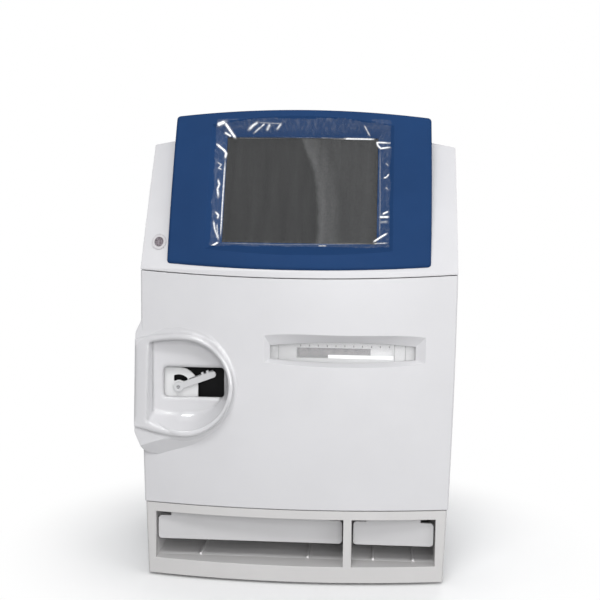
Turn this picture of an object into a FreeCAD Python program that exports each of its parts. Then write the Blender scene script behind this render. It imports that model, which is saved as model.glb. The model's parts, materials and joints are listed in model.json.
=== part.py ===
"""Bench electrolyte analyzer: curved casing, leaning touchscreen, hinged front door
with a sampling port, two reagent bays with swing flaps, and the working parts inside.
Millimetres, +Z up, front towards -Y, origin on the table at the middle of the footprint."""

import FreeCAD, Part
import os
import re
import Sketcher
from FreeCAD import Placement, Rotation, Vector

# Driving dimensions

CASING = {
    "body_low": 3.0,
    "bottom_half": 166.9,
    "top_half": 173.2,
    "side_bow": 3.6,
    "shoulder_z": 486.0,
    "crown_rise": 18.0,
    "rear_y": 170.0,
    "nose_y": -168.0,
    "edge_y": -150.0,
    "arc_margin": 15.8,
    "front_bow": 21.9,
    "front_depth": 24.0,
    "shell_gap": 1.0,
    "seam_gap": 1.0,
    "seam_low": 84.9,
    "seam_high": 347.5,
    "seam_sag": 6.4,
    "slope_z": 348.5,
    "slope_tan": 0.589,
    "wall": 2.8,
    "rear_round": 12.0,
    "edge_round": 2.5,
    "fascia_inset": 1.3,
}

DISPLAY = {
    "display_y": -154.7,
    "display_z": 355.6,
    "display_lean": 22.0,
    "bezel_rim": 28.7,
    "bezel_tall": 176.2,
    "bezel_top_bow": 3.4,
    "bezel_low_bow": 9.8,
    "bezel_side_bow": 0.8,
    "bezel_nose": 12.7,
    "bezel_depth": 16.0,
    "bezel_round": 4.0,
    "bezel_corner": 4.5,
    "bezel_side_rim": 35.0,
    "bezel_top_rim": 9.5,
    "crease_low": 10.5,
    "side_slope": 24.3,
    "top_slope": 15.7,
    "screen_low": 25.0,
    "screen_floor": 2.0,
    "screen_lip": 2.0,
    "glass_margin": 5.0,
    "glass_thick": 1.8,
    "lcd_thick": 8.4,
    "lcd_margin": 9.0,
    "film_left": -91.5,
    "film_inset": 10.5,
    "film_reach": 0.38,
    "film_thick": 0.3,
    "film_front": 5.5,
    "window_drop": 16.0,
    "pod_inset": 6.5,
    "pod_drop": 4.0,
    "pod_start": 75.0,
    "pod_deep": 22.0,
    "pod_fall": 6.0,
    "pod_round": 5.0,
}

LAMP = {
    "lamp_inset": 16.9,
    "lamp_z": 377.0,
    "lamp_collar": 8.2,
    "lamp_hole": 5.2,
    "lamp_proud": 0.8,
    "lamp_deep": 12.0,
    "lens_y": -133.0,
    "lens_depth": 3.0,
}

DOOR = {
    "hinge_inset": 5.0,
    "hinge_y": -138.0,
    "hinge_relief": 6.5,
    "hinge_pin": 2.0,
    "hinge_seat": 8.0,
    "hinge_reach": 9.0,
    "hinge_boss": 4.6,
    "pin_play": 0.05,
    "dish_x": -124.5,
    "dish_z": 221.0,
    "dish_r": 56.4,
    "dish_bulge": 6.4,
    "dish_drop": 8.0,
    "dish_proud_top": 2.5,
    "dish_proud_low": 10.5,
    "lip_step": 2.4,
    "skirt_slope": 2.0,
    "skirt_level": -166.0,
    "flank_low": 165.0,
    "flank_high": 277.0,
    "flank_run": 22.0,
    "flank_round": 14.0,
    "mouth_left": -166.5,
    "mouth_x": -123.5,
    "mouth_z": 219.8,
    "mouth_r": 50.8,
    "mouth_drop": 5.0,
    "floor_x": -121.5,
    "floor_z": 227.0,
    "floor_r": 44.2,
    "floor_left": -162.0,
    "floor_y": -146.0,
    "floor_wall": 2.5,
    "port_left": -149.2,
    "port_right": -81.2,
    "port_low": 204.6,
    "port_high": 238.2,
    "port_round": 4.0,
    "view_margin": 43.0,
    "view_half": 79.6,
    "view_low": 252.0,
    "view_tall": 15.2,
    "view_bow": 3.9,
    "view_turn": 3.6,
    "view_depth": 9.5,
    "view_rim": 12.0,
    "bevel_left": 12.4,
    "bevel_right": 21.5,
    "bevel_below": 5.0,
    "bevel_above": 21.5,
    "bevel_dip": 22.0,
    "bevel_sag": 0.8,
    "view_wall": 2.4,
    "pane_thick": 1.5,
    "pane_margin": 3.0,
    "strike_inset": 15.2,
    "strike_z": 316.0,
    "strike_wide": 12.0,
    "strike_tall": 18.0,
    "strike_thick": 1.2,
    "strike_y": -134.3,
    "catch_gap": 0.3,
    "rib_tall": 5.0,
    "rib_thick": 2.0,
    "rib_low": 112.0,
    "rib_mid": 140.0,
    "rib_high": 305.0,
    "rib_top": 141.0,
    "post_x": 60.0,
}

BAYS = {
    "bay_margin": 9.9,
    "bay_margin_right": 10.4,
    "divider_left": 54.5,
    "divider_right": 63.5,
    "bay_low": 21.0,
    "bay_high": 74.6,
    "sleeve_wall": 2.5,
    "sleeve_back": -140.0,
    "slot_front": -149.2,
    "flap_gap": 1.8,
    "flap_y": -146.5,
    "flap_thick": 3.0,
    "flap_low": 41.2,
    "flap_shoulder": 67.8,
    "flap_corner": 4.0,
    "neck_inset": 14.5,
    "flap_axis_z": 78.0,
    "flap_knuckle": 3.0,
    "flap_rod": 1.5,
    "ear_thick": 4.0,
    "ear_gap": 0.5,
    "tray_front": -139.7,
    "tray_depth": 190.0,
    "tray_wall": 1.8,
    "tray_top": 81.0,
    "guide_tall": 2.2,
    "guide_wide": 2.6,
    "guide_one": -108.0,
    "guide_two": 14.0,
    "guide_three": 88.0,
    "guide_four": 133.0,
    "skid_wide": 8.0,
    "needle_r": 1.1,
    "needle_reach": 22.0,
    "needle_base": 4.0,
    "needle_base_deep": 5.0,
    "needle_pitch": 42.0,
    "needle_left": -51.0,
    "needle_right": 110.0,
    "needle_z": 46.0,
}

FRAME = {
    "plate_low": 6.0,
    "plate_thick": 2.0,
    "plate_clear": 0.4,
    "foot_r": 10.0,
    "foot_inset": 38.9,
    "foot_front": -98.0,
    "foot_rear": 138.0,
    "foot_edge": 1.5,
    "sheet": 1.5,
    "bulkhead_y": -122.0,
    "chassis_gap": 1.1,
    "bulkhead_high": 336.0,
    "deck_rear": 140.0,
    "gusset_depth": 90.0,
    "gusset_high": 200.0,
}

SAMPLER = {
    "hub_x": -133.4,
    "hub_z": 214.9,
    "hub_r": 5.6,
    "lever_reach": 45.0,
    "lever_angle": 21.0,
    "lever_wide": 7.2,
    "lever_front": -142.9,
    "lever_thick": 3.0,
    "hub_proud": 0.3,
    "lever_pin_r": 2.0,
    "clip_one": 31.0,
    "clip_two": 37.0,
    "clip_wide": 2.6,
    "clip_tall": 2.8,
    "probe_r": 0.6,
    "probe_start": 14.0,
    "cam_front": -139.2,
    "cam_thick": 2.0,
    "cam_r": 21.8,
    "slot_inner": 7.2,
    "slot_outer": 13.6,
    "slot_left": 5.6,
    "slot_right": 9.8,
    "slot_start": 6.0,
    "case_left": -156.0,
    "case_right": -74.0,
    "case_low": 198.0,
    "case_high": 246.0,
    "case_wall": 2.0,
}

ANALYSIS = {
    "cell_over": 4.0,
    "end_show": 10.2,
    "cell_low": 238.0,
    "cell_high": 290.0,
    "cell_front": -142.0,
    "channel_start": 32.0,
    "channel_end": 14.0,
    "channel_low": 251.0,
    "channel_high": 262.4,
    "channel_deep": 8.0,
    "electrode_r": 5.2,
    "electrode_pitch": 13.2,
    "electrode_first": 8.0,
    "electrode_count": 6,
    "electrode_long": 3.6,
    "electrode_cap": 1.0,
    "electrode_cap_r": 2.4,
    "bar_start": 35.0,
    "bar_tall": 3.6,
    "bar_thick": 2.4,
    "end_wide": 13.0,
    "end_low": 250.0,
    "end_high": 270.0,
    "end_deep": 12.0,
    "pump_x": 75.0,
    "pump_z": 165.0,
    "pump_half": 30.0,
    "pump_deep": 13.0,
    "track_r": 20.5,
    "track_outer": 26.0,
    "track_deep": 12.0,
    "track_open": 2.0,
    "pump_corner": 6.0,
    "tube_r": 2.0,
    "tube_path_r": 18.2,
    "tube_drop": 26.0,
    "roller_r": 4.4,
    "roller_orbit": 11.4,
    "roller_long": 6.0,
    "roller_pin": 1.5,
    "roller_play": 0.2,
    "rotor_r": 15.2,
    "rotor_disc": 2.0,
    "rotor_hub": 5.0,
    "rotor_shaft": 3.0,
    "motor_r": 14.0,
    "motor_long": 34.0,
}

REAR = {
    "panel_half": 122.0,
    "panel_low": 62.0,
    "panel_high": 212.0,
    "panel_lap": 8.0,
    "panel_thick": 1.5,
    "inlet_x": -84.0,
    "inlet_z": 96.0,
    "inlet_half": 13.6,
    "inlet_tall": 10.0,
    "inlet_flange": 2.5,
    "inlet_deep": 22.0,
    "inlet_blade": 2.0,
    "switch_x": -36.0,
    "switch_half": 6.6,
    "switch_tall": 11.0,
    "switch_deep": 16.0,
    "rocker_half": 5.0,
    "rocker_set": 1.2,
    "rocker_pin": 1.2,
    "rocker_tilt": -7.0,
    "rocker_gap": 0.4,
    "fan_x": 62.0,
    "fan_z": 135.0,
    "fan_half": 40.0,
    "fan_deep": 20.0,
    "fan_bore": 37.0,
    "fan_tip": 35.6,
    "fan_hub": 15.0,
    "fan_pin": 2.0,
    "fan_arm": 3.0,
    "fan_blades": 7,
    "blade_sweep": 8.0,
    "blade_thick": 2.4,
    "guard_wire": 1.4,
    "guard_rings": 4,
    "guard_pitch": 9.0,
    "port_x": -60.0,
    "port_z": 140.0,
    "port_pitch": 26.0,
    "serial_half": 15.4,
    "serial_tall": 6.2,
    "serial_flange": 1.2,
    "serial_proud": 2.4,
    "screw_r": 3.0,
    "screw_head": 1.8,
    "vent_wide": 46.0,
    "vent_tall": 4.0,
    "vent_pitch": 10.0,
    "vent_rows": 8,
    "vent_z": 330.0,
    "vent_x": 62.0,
    "board_half": 120.0,
    "board_low": 196.0,
    "board_high": 312.0,
    "board_thick": 1.6,
    "standoff": 10.0,
    "standoff_r": 3.0,
    "supply_left": -150.0,
    "supply_right": -70.0,
    "supply_front": 10.0,
    "supply_rear": 140.0,
    "supply_tall": 46.0,
}

SIZES = {}
for group in (CASING, DISPLAY, LAMP, DOOR, BAYS, FRAME, SAMPLER, ANALYSIS, REAR):
    SIZES.update(group)

# Places that follow from the driving dimensions

DERIVED = {
    "widest_half": "max(top_half; bottom_half)",
    "barrel_half": "widest_half + 1",
    "arc_half": "barrel_half + arc_margin",
    "lamp_x": "-(top_half - lamp_inset)",
    "seam_share": "(seam_low - body_low) / (shoulder_z - body_low)",
    "seam_swell": "4 * side_bow * seam_share * (1 - seam_share)",
    "seam_half": "bottom_half + (top_half - bottom_half) * seam_share + seam_swell",
    "hinge_x": "min(top_half; seam_half) - hinge_inset",
    "strike_x": "-(top_half - strike_inset)",
    "dish_left": "-(barrel_half + dish_bulge)",
    "bay_left": "-(bottom_half - bay_margin)",
    "bay_right": "bottom_half - bay_margin_right",
    "foot_x": "bottom_half - foot_inset",
    "bulkhead_half": "bottom_half - wall - chassis_gap",
    "bezel_half": "top_half - bezel_rim",
    "crease_half": "bezel_half - bezel_side_rim",
    "crease_high": "bezel_tall - bezel_top_rim",
    "screen_half": "crease_half - side_slope",
    "screen_high": "crease_high - top_slope",
    "film_right": "crease_half - film_inset",
    "film_high": "screen_high + film_reach * top_slope",
    "film_low": "screen_low - film_reach * (screen_low - crease_low)",
    "window_top": "crease_high - window_drop",
    "pod_half": "bezel_half - pod_inset",
    "door_back": "edge_y + front_depth",
    "shell_front": "door_back + shell_gap",
    "rear_inner": "rear_y - wall",
    "bowl_y": "nose_y + front_bow",
    "fascia_top": "seam_low - seam_gap / 2",
    "door_low": "seam_low + seam_gap / 2",
    "door_high": "seam_high - seam_gap / 2",
    "hinge_top": "seam_high + seam_gap / 2 - seam_sag * (1 - (hinge_x / arc_half)^2)",
    "cover_low": "seam_high + seam_gap / 2",
    "crown_z": "shoulder_z + crown_rise",
    "slope_run": "(crown_z + 20 - slope_z) * slope_tan",
    "floor_back": "floor_y + floor_wall",
    "view_x": "top_half - view_margin - view_half",
    "view_y": "bowl_y - front_bow + front_bow * (view_x / arc_half)^2 + view_depth",
    "view_high": "view_low + view_tall",
    "cell_left": "view_x - view_half - cell_over",
    "cell_right": "view_x + view_half - end_show",
    "channel_left": "cell_left + channel_start",
    "channel_right": "cell_right - channel_end",
    "bar_left": "channel_left + bar_start",
    "end_right": "cell_right + end_wide",
    "left_flap_l": "bay_left + flap_gap",
    "left_flap_r": "divider_left - flap_gap",
    "right_flap_l": "divider_right + flap_gap",
    "right_flap_r": "bay_right - flap_gap",
    "flap_axis_y": "flap_y + flap_thick / 2",
    "plate_top": "plate_low + plate_thick",
    "plate_front": "door_back + 0.3",
    "deck_low": "tray_top + 0.2",
    "deck_top": "deck_low + sheet",
    "tray_floor": "bay_low - tray_wall",
    "tray_back": "tray_front + tray_depth",
    "cam_back": "cam_front + cam_thick",
    "lever_back": "lever_front + lever_thick",
    "glass_front": "screen_floor + screen_lip",
    "glass_back": "glass_front + glass_thick",
    "lcd_back": "glass_back + lcd_thick",
    "panel_front": "rear_inner - panel_thick",
    "pump_front": "bulkhead_y - pump_deep",
    "track_front": "pump_front - track_deep",
}

DOC = FreeCAD.newDocument("electrolyte_analyzer")
SHEET = DOC.addObject("Spreadsheet::Sheet", "Sizes")
for row, (name, value) in enumerate(SIZES.items(), start=1):
    SHEET.set(f"A{row}", name)
    SHEET.set(f"B{row}", str(value))
    SHEET.setAlias(f"B{row}", name)
DOC.recompute()

WORD = re.compile(r"[A-Za-z_]\w*")


def bound(text):
    """The expression text with every size name written as a cell of the sheet."""

    def swap(match):
        word = match.group(0)
        if word in DERIVED:
            return "(" + bound(DERIVED[word]) + ")"
        if word in SIZES:
            return "Sizes." + word
        return word

    return WORD.sub(swap, str(text))


def value(text):
    """The number that an expression gives now."""
    return float(SHEET.evalExpression(bound(text)))


def bind(thing, path, text):
    thing.setExpression(path, bound(text))


# Frames: how a flat outline stands in the machine

SIDE_TURN = Rotation(Vector(1, 1, 1), 120)
TURNS = {
    "plan": (Rotation(), None),
    "front": (Rotation(Vector(1, 0, 0), 90), None),
    "side": (SIDE_TURN, None),
    "screen": (Rotation(Vector(1, 0, 0), 68), "90 - display_lean"),
    "screen_plan": (Rotation(Vector(1, 0, 0), -22), "-display_lean"),
    "view": (Rotation(Vector(0, 0, 1), 3.6), "view_turn"),
}


def set_frame(thing, frame, base):
    """Stand a thing in a frame: plan looks down, front looks at the front face,
    side looks along X, and the screen frames lean with the display."""
    turn, lean = TURNS[frame]
    thing.Placement = Placement(Vector(), turn)
    if lean:
        bind(thing, "Placement.Rotation.Angle", lean)
    for axis, text in zip("xyz", base):
        bind(thing, f"Placement.Base.{axis}", text)


def view_base(depth):
    """A point behind the middle of the door's window, square to its plane."""
    return (
        f"view_x - ({depth}) * sin(view_turn)",
        f"view_y + ({depth}) * cos(view_turn)",
        "0",
    )


def screen_base(depth):
    """A point straight behind the foot of the display by the given depth."""
    return (
        "0",
        f"display_y + ({depth}) * cos(display_lean)",
        f"display_z - ({depth}) * sin(display_lean)",
    )


# Sketches


def pin_point(sketch, index, corner, point):
    """Hold one end of an edge at its coordinates."""
    for kind, text in zip(("DistanceX", "DistanceY"), point):
        at = sketch.addConstraint(
            Sketcher.Constraint(kind, -1, 1, index, corner, value(text))
        )
        bind(sketch, f"Constraints[{at}]", text)


def add_arc(sketch, start, end, bow):
    """An arc from start to end that swells to the right of its run by bow."""
    first = Vector(value(start[0]), value(start[1]), 0)
    last = Vector(value(end[0]), value(end[1]), 0)
    if value(bow) < 0:
        first, last = last, first
    depth = abs(value(bow))
    chord = last - first
    radius = (chord.Length ** 2 / 4 + depth ** 2) / (2 * depth)
    right = Vector(chord.y, -chord.x, 0).normalize()
    centre = (first + last) * 0.5 + right * (depth - radius)
    circle = Part.Circle(centre, Vector(0, 0, 1), radius)
    index = sketch.addGeometry(
        Part.ArcOfCircle(circle, circle.parameter(first), circle.parameter(last))
    )
    run = f"(({end[0]}) - ({start[0]}))^2 + (({end[1]}) - ({start[1]}))^2"
    text = f"(({run}) / 4 + ({bow})^2) / (2 * abs({bow}))"
    at = sketch.addConstraint(Sketcher.Constraint("Radius", index, value(text)))
    bind(sketch, f"Constraints[{at}]", text)
    return index, value(bow) < 0


def draw(sketch, corners, bows=None):
    """A closed outline through the corners, counter-clockwise. bows gives the swell
    of the edges that are arcs, outward where it is positive."""
    bows = bows or {}
    for number, start in enumerate(corners):
        end = corners[(number + 1) % len(corners)]
        flipped = False
        if number in bows:
            index, flipped = add_arc(sketch, start, end, bows[number])
        else:
            index = sketch.addGeometry(
                Part.LineSegment(
                    Vector(value(start[0]), value(start[1]), 0),
                    Vector(value(end[0]), value(end[1]), 0),
                )
            )
        pin_point(sketch, index, 2 if flipped else 1, start)
        pin_point(sketch, index, 1 if flipped else 2, end)


def draw_circle(sketch, x, y, radius):
    index = sketch.addGeometry(
        Part.Circle(Vector(value(x), value(y), 0), Vector(0, 0, 1), value(radius))
    )
    pin_point(sketch, index, 3, (x, y))
    at = sketch.addConstraint(Sketcher.Constraint("Radius", index, value(radius)))
    bind(sketch, f"Constraints[{at}]", radius)


def rect(left, right, low, high):
    """The corners of a rectangle."""
    return [(left, low), (right, low), (right, high), (left, high)]


# Bodies


class Block:
    """A PartDesign body in one of the frames, built up feature by feature."""

    def __init__(self, name, frame="plan", base=("0", "0", "0")):
        self.body = DOC.addObject("PartDesign::Body", name)
        self.name = name
        self.count = 0
        self.plane = "XZ_Plane" if frame == "view" else "XY_Plane"
        set_frame(self.body, frame, base)
        DOC.recompute()

    def feature(self, kind, tag):
        self.count += 1
        return self.body.newObject(kind, f"{self.name}_{tag}{self.count}")

    def sketch(self, height="0", plane=None, turn=None):
        """A sketch on one of the body's own planes, raised and turned if asked."""
        flat = self.feature("Sketcher::SketchObject", "sketch")
        role = plane or self.plane
        support = next(
            item for item in self.body.Origin.OriginFeatures if item.Role == role
        )
        flat.AttachmentSupport = [(support, "")]
        flat.MapMode = "FlatFace"
        bind(flat, "AttachmentOffset.Base.z", height)
        if turn:
            bind(flat, "AttachmentOffset.Rotation.Angle", turn)
        return flat

    def outline(self, corners, bows=None, height="0", plane=None, turn=None):
        flat = self.sketch(height, plane, turn)
        draw(flat, corners, bows)
        return flat

    def volume(self):
        DOC.recompute()
        return self.body.Shape.Volume

    def pad(self, flat, length):
        solid = self.feature("PartDesign::Pad", "pad")
        solid.Profile = flat
        bind(solid, "Length", length)
        DOC.recompute()
        return self

    def pocket(self, flat, depth):
        before = self.volume()
        solid = self.feature("PartDesign::Pocket", "pocket")
        solid.Profile = flat
        bind(solid, "Length", depth)
        if self.volume() >= before:
            raise ValueError(f"{solid.Name} cuts nothing")
        return self

    def loft(self, first, second):
        solid = self.feature("PartDesign::AdditiveLoft", "loft")
        solid.Profile = first
        solid.Sections = [second]
        solid.Ruled = True
        DOC.recompute()
        return self

    def polar(self, count):
        """Repeat the last feature round the body's own axis."""
        last = self.body.Tip
        ring = self.feature("PartDesign::PolarPattern", "ring")
        ring.Originals = [last]
        axis = next(
            item for item in self.body.Origin.OriginFeatures if item.Role == "Z_Axis"
        )
        ring.Axis = (axis, [""])
        ring.Angle = 360
        bind(ring, "Occurrences", count)
        self.body.Tip = ring
        DOC.recompute()
        return self

    def soften(self, kind, size, picks):
        """A fillet or chamfer on the edges that picks accepts, in the body's frame."""
        DOC.recompute()
        base = self.body.Tip
        names = [
            f"Edge{number}"
            for number, edge in enumerate(base.Shape.Edges, start=1)
            if picks(edge)
        ]
        if not names:
            raise ValueError(f"{self.name} has no edge to soften")
        soft = self.feature(f"PartDesign::{kind}", kind.lower())
        soft.Base = (base, names)
        bind(soft, "Radius" if kind == "Fillet" else "Size", size)
        DOC.recompute()
        return self


def slab(name, frame, corners, far, deep, bows=None):
    """An outline padded towards the frame's own normal from its far plane."""
    if frame == "front":
        base = ("0", far, "0")
    elif frame == "plan":
        base = ("0", "0", far)
    elif frame == "side":
        base = (far, "0", "0")
    elif frame == "view":
        base = view_base(far)
    else:
        base = screen_base(far)
    block = Block(name, frame, base)
    block.pad(block.outline(corners, bows), deep)
    return block


def box(name, left, right, front, back, low, high):
    """A Part box between six planes."""
    solid = DOC.addObject("Part::Box", name)
    bind(solid, "Length", f"({right}) - ({left})")
    bind(solid, "Width", f"({back}) - ({front})")
    bind(solid, "Height", f"({high}) - ({low})")
    for axis, text in zip("xyz", (left, front, low)):
        bind(solid, f"Placement.Base.{axis}", text)
    return solid


ALONG = {
    "x": Rotation(Vector(0, 1, 0), 90),
    "y": Rotation(Vector(1, 0, 0), -90),
    "z": Rotation(),
}


def rod(name, axis, base, radius, length):
    """A Part cylinder that starts at base and runs along +axis."""
    solid = DOC.addObject("Part::Cylinder", name)
    solid.Placement = Placement(Vector(), ALONG[axis])
    bind(solid, "Radius", radius)
    bind(solid, "Height", length)
    for letter, text in zip("xyz", base):
        bind(solid, f"Placement.Base.{letter}", text)
    return solid


def shape_of(thing):
    return thing.body if isinstance(thing, Block) else thing


def many(kind, name, things):
    solid = DOC.addObject(kind, name)
    parts = [shape_of(thing) for thing in things]
    if kind == "Part::Compound":
        solid.Links = parts
    else:
        solid.Shapes = parts
    return solid


def fuse(name, *things):
    return many("Part::MultiFuse", name, things)


def common(name, first, *others):
    """What all the things share, taken pair by pair."""
    solid = shape_of(first)
    for number, other in enumerate(others, start=1):
        tag = name if number == len(others) else f"{name}_{number}"
        pair = DOC.addObject("Part::Common", tag)
        pair.Base = solid
        pair.Tool = shape_of(other)
        solid = pair
    return solid


def group(name, *things):
    """Separate solids that share one node."""
    return many("Part::Compound", name, things)


def cut(name, base, *tools):
    solid = DOC.addObject("Part::Cut", name)
    solid.Base = shape_of(base)
    solid.Tool = shape_of(tools[0]) if len(tools) == 1 else fuse(name + "_tools", *tools)
    return solid


def round_edges(name, base, radius, picks):
    """A Part fillet on the edges that picks accepts."""
    DOC.recompute()
    solid = DOC.addObject("Part::Fillet", name)
    solid.Base = shape_of(base)
    size = value(radius)
    chosen = [
        (number, size, size)
        for number, edge in enumerate(solid.Base.Shape.Edges, start=1)
        if picks(edge)
    ]
    if not chosen:
        raise ValueError(f"{name} has no edge to round")
    solid.Edges = chosen
    return solid


PIECES = []


def piece(name, thing):
    """A finished sub-part: its label names its file."""
    solid = shape_of(thing)
    solid.Label = name
    PIECES.append((name, solid))
    return solid


def near(number, text, slack=0.6):
    return abs(number - value(text)) < slack


def upright(edge):
    """True for an edge that runs mainly up and down."""
    size = edge.BoundBox
    return size.ZLength > 4 * max(size.XLength, 0.5) and size.ZLength > size.YLength


# Casing regions shared by the outer pieces


def envelope(name, inset, low):
    """The barrel-sided, crowned outline of the casing, running front to back."""
    corners = [
        (f"-(bottom_half - {inset})", low),
        (f"bottom_half - {inset}", low),
        (f"top_half - {inset}", f"shoulder_z - {inset}"),
        (f"-(top_half - {inset})", f"shoulder_z - {inset}"),
    ]
    bows = {1: "side_bow", 2: "crown_rise", 3: "side_bow"}
    return slab(name, "front", corners, "rear_y + 10", "rear_y + 10 - nose_y + 10", bows)


def bowed_plan(name, inset, back, low, high):
    """Everything behind the bowed front face, back to a flat plane."""
    front = f"bowl_y + {inset}"
    corners = rect("-arc_half", "arc_half", front, back)
    return slab(name, "plan", corners, low, f"({high}) - ({low})", {0: "front_bow"})


def seam_band(name, low, high, low_sag=None, high_sag=None):
    """A band of heights across the front, with sagging edges where they are given."""
    bows = {}
    if low_sag:
        bows[0] = low_sag
    if high_sag:
        bows[2] = f"-({high_sag})"
    corners = rect("-arc_half", "arc_half", low, high)
    return slab(name, "front", corners, "rear_y", "rear_y - nose_y + 10", bows)


def lean_pad(block, flat, tangent, tall):
    """Pad a plan outline upwards while it moves back by the tangent of the lean."""
    solid = block.feature("PartDesign::Pad", "pad")
    solid.Profile = flat
    solid.UseCustomVector = True
    solid.Direction = Vector(0, value(tangent), 1)
    solid.AlongSketchNormal = True
    bind(solid, "Length", tall)
    DOC.recompute()


def sloped_slab(name, inset, depth):
    """Everything behind the leaning upper face, for a given depth."""
    block = Block(name, "plan", ("0", f"{inset} - 60 * slope_tan", "slope_z - 60"))
    front = "bowl_y"
    flat = block.outline(
        rect("-arc_half", "arc_half", front, f"edge_y + {depth}"), {0: "front_bow"}
    )
    lean_pad(block, flat, "slope_tan", "crown_z + 80 - slope_z")
    return block


def make_rear_cover():
    """The big shell: both sides, the top and the back, open to the front and below."""

    def region(name, front, back, low):
        corners = [
            (front, low),
            (back, low),
            (back, "crown_z + 20"),
            (f"{front} + slope_run", "crown_z + 20"),
            (front, "slope_z"),
        ]
        return slab(name, "side", corners, "-arc_half", "2 * arc_half")

    outer = common(
        "rear_outer",
        envelope("rear_envelope", "0", "body_low"),
        region("rear_region", "shell_front", "rear_y", "body_low - 5"),
    )
    soft = round_edges(
        "rear_soft",
        outer,
        "rear_round",
        lambda edge: near(edge.BoundBox.YMin, "rear_y", 0.01)
        and edge.BoundBox.ZMax > value("body_low") + 1,
    )
    hollow = round_edges(
        "rear_hollow_soft",
        common(
            "rear_hollow",
            envelope("rear_hollow_envelope", "wall", "body_low - 10"),
            region(
                "rear_hollow_region", "shell_front - 5", "rear_inner", "body_low - 12"
            ),
        ),
        "rear_round - wall",
        lambda edge: near(edge.BoundBox.YMin, "rear_inner", 0.01)
        and edge.BoundBox.ZMax > value("body_low") + 1,
    )
    window = box(
        "rear_window",
        "-panel_half",
        "panel_half",
        "rear_inner - 5",
        "rear_y + 5",
        "panel_low",
        "panel_high",
    )
    slots = [
        box(
            f"rear_vent_{side}_{row}",
            f"{sign} * vent_x - vent_wide / 2",
            f"{sign} * vent_x + vent_wide / 2",
            "rear_inner - 5",
            "rear_y + 5",
            f"vent_z + {row} * vent_pitch",
            f"vent_z + {row} * vent_pitch + vent_tall",
        )
        for side, sign in (("left", "-1"), ("right", "1"))
        for row in range(int(SIZES["vent_rows"]))
    ]
    piece("rear_cover", cut("rear_cover_solid", soft, hollow, window, *slots))


def make_upper_cover():
    """The leaning upper front shell that carries the display and the door's upper pin."""
    outer = common(
        "upper_outer",
        envelope("upper_envelope", "0", "body_low"),
        sloped_slab("upper_slope", "0", "front_depth"),
        seam_band("upper_band", "cover_low", "crown_z + 30", "seam_sag"),
        bowed_plan("upper_plan", "0", "rear_y", "seam_low", "crown_z + 30"),
    )
    hollow = common(
        "upper_hollow",
        envelope("upper_hollow_envelope", "wall", "body_low"),
        sloped_slab("upper_hollow_slope", "wall * 1.16", "front_depth + 10"),
        seam_band("upper_hollow_band", "cover_low + wall", "crown_z + 30", "seam_sag"),
        bowed_plan("upper_hollow_plan", "wall", "rear_y", "seam_low", "crown_z + 30"),
    )
    window = Block("upper_window", "screen", screen_base("60"))
    window.pad(window.outline(window_outline()), "90")
    lamp = rod(
        "upper_lamp_hole",
        "y",
        ("lamp_x", "nose_y", "lamp_z"),
        "lamp_collar + pin_play",
        "60",
    )
    pin = rod(
        "upper_pin_hole",
        "z",
        ("hinge_x", "hinge_y", "hinge_top - 5"),
        "hinge_pin",
        "hinge_seat + 5",
    )
    seat = rod(
        "upper_hinge_seat",
        "z",
        ("hinge_x", "hinge_y", "cover_low - seam_sag"),
        "hinge_boss",
        "seam_sag + hinge_seat + wall",
    )
    cavity = cut("upper_cavity", hollow, seat)
    piece("upper_front_cover", cut("upper_cover_solid", outer, cavity, window, lamp, pin))


def window_outline():
    """The opening behind the display frame, in the display's own plane."""
    return rect("-(crease_half + 2.5)", "crease_half + 2.5", "crease_low - 2.5", "window_top")


def bezel_outline():
    """The four bowed sides of the display frame."""
    corners = rect("-bezel_half", "bezel_half", "0", "bezel_tall")
    bows = {
        0: "bezel_low_bow",
        1: "bezel_side_bow",
        2: "bezel_top_bow",
        3: "bezel_side_bow",
    }
    return corners, bows


def make_bezel():
    """The blue display frame: bowed on all four sides and swelling to the front,
    with slopes that run down to the screen."""
    block = Block("bezel_block", "screen", screen_base("bezel_depth"))
    corners, bows = bezel_outline()
    block.pad(block.outline(corners, bows), "bezel_depth + bezel_nose + 2")
    block.soften(
        "Fillet",
        "bezel_corner",
        lambda edge: edge.BoundBox.XLength < 0.01 and edge.BoundBox.YLength < 0.01,
    )
    swell = Block("bezel_swell", "screen_plan", screen_base("0"))
    swell_corners = rect(
        "-arc_half", "arc_half", "front_bow - bezel_nose", "bezel_depth + 20"
    )
    swell.pad(
        swell.outline(swell_corners, {0: "front_bow"}, "-30"), "bezel_tall + 60"
    )
    face = common("bezel_face", block, swell)
    soft = round_edges(
        "bezel_soft",
        face,
        "bezel_round",
        lambda edge: on_bezel_front(edge),
    )
    recess = Block("bezel_recess", "screen", screen_base("screen_floor"))
    inner = recess.outline(
        rect("-screen_half", "screen_half", "screen_low", "screen_high"), height="0"
    )
    grow = "(bezel_nose + screen_floor + 4) / (bezel_nose * 0.75 + screen_floor)"
    outer = recess.outline(
        rect(
            f"-(screen_half + (crease_half - screen_half) * {grow})",
            f"screen_half + (crease_half - screen_half) * {grow}",
            f"screen_low - (screen_low - crease_low) * {grow}",
            f"screen_high + (crease_high - screen_high) * {grow}",
        ),
        height="bezel_nose + screen_floor + 4",
    )
    recess.loft(inner, outer)
    opening = slab(
        "bezel_opening",
        "screen",
        rect("-screen_half", "screen_half", "screen_low", "screen_high"),
        "bezel_depth + 2",
        "bezel_depth + 4",
    )
    back = slab(
        "bezel_back",
        "screen",
        rect("-(bezel_half - 8)", "bezel_half - 8", "6", "bezel_tall - 6"),
        "bezel_depth + 2",
        "bezel_depth + 2 - glass_front",
    )
    casing = common(
        "bezel_casing",
        envelope("bezel_casing_envelope", "0", "body_low"),
        sloped_slab("bezel_casing_slope", "0", "front_depth + 60"),
    )
    window = slab("bezel_window", "screen", window_outline(), "60", "90")
    skin = cut("bezel_skin", casing, window)
    piece("display_bezel", cut("bezel_solid", soft, recess, opening, back, skin))


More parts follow.
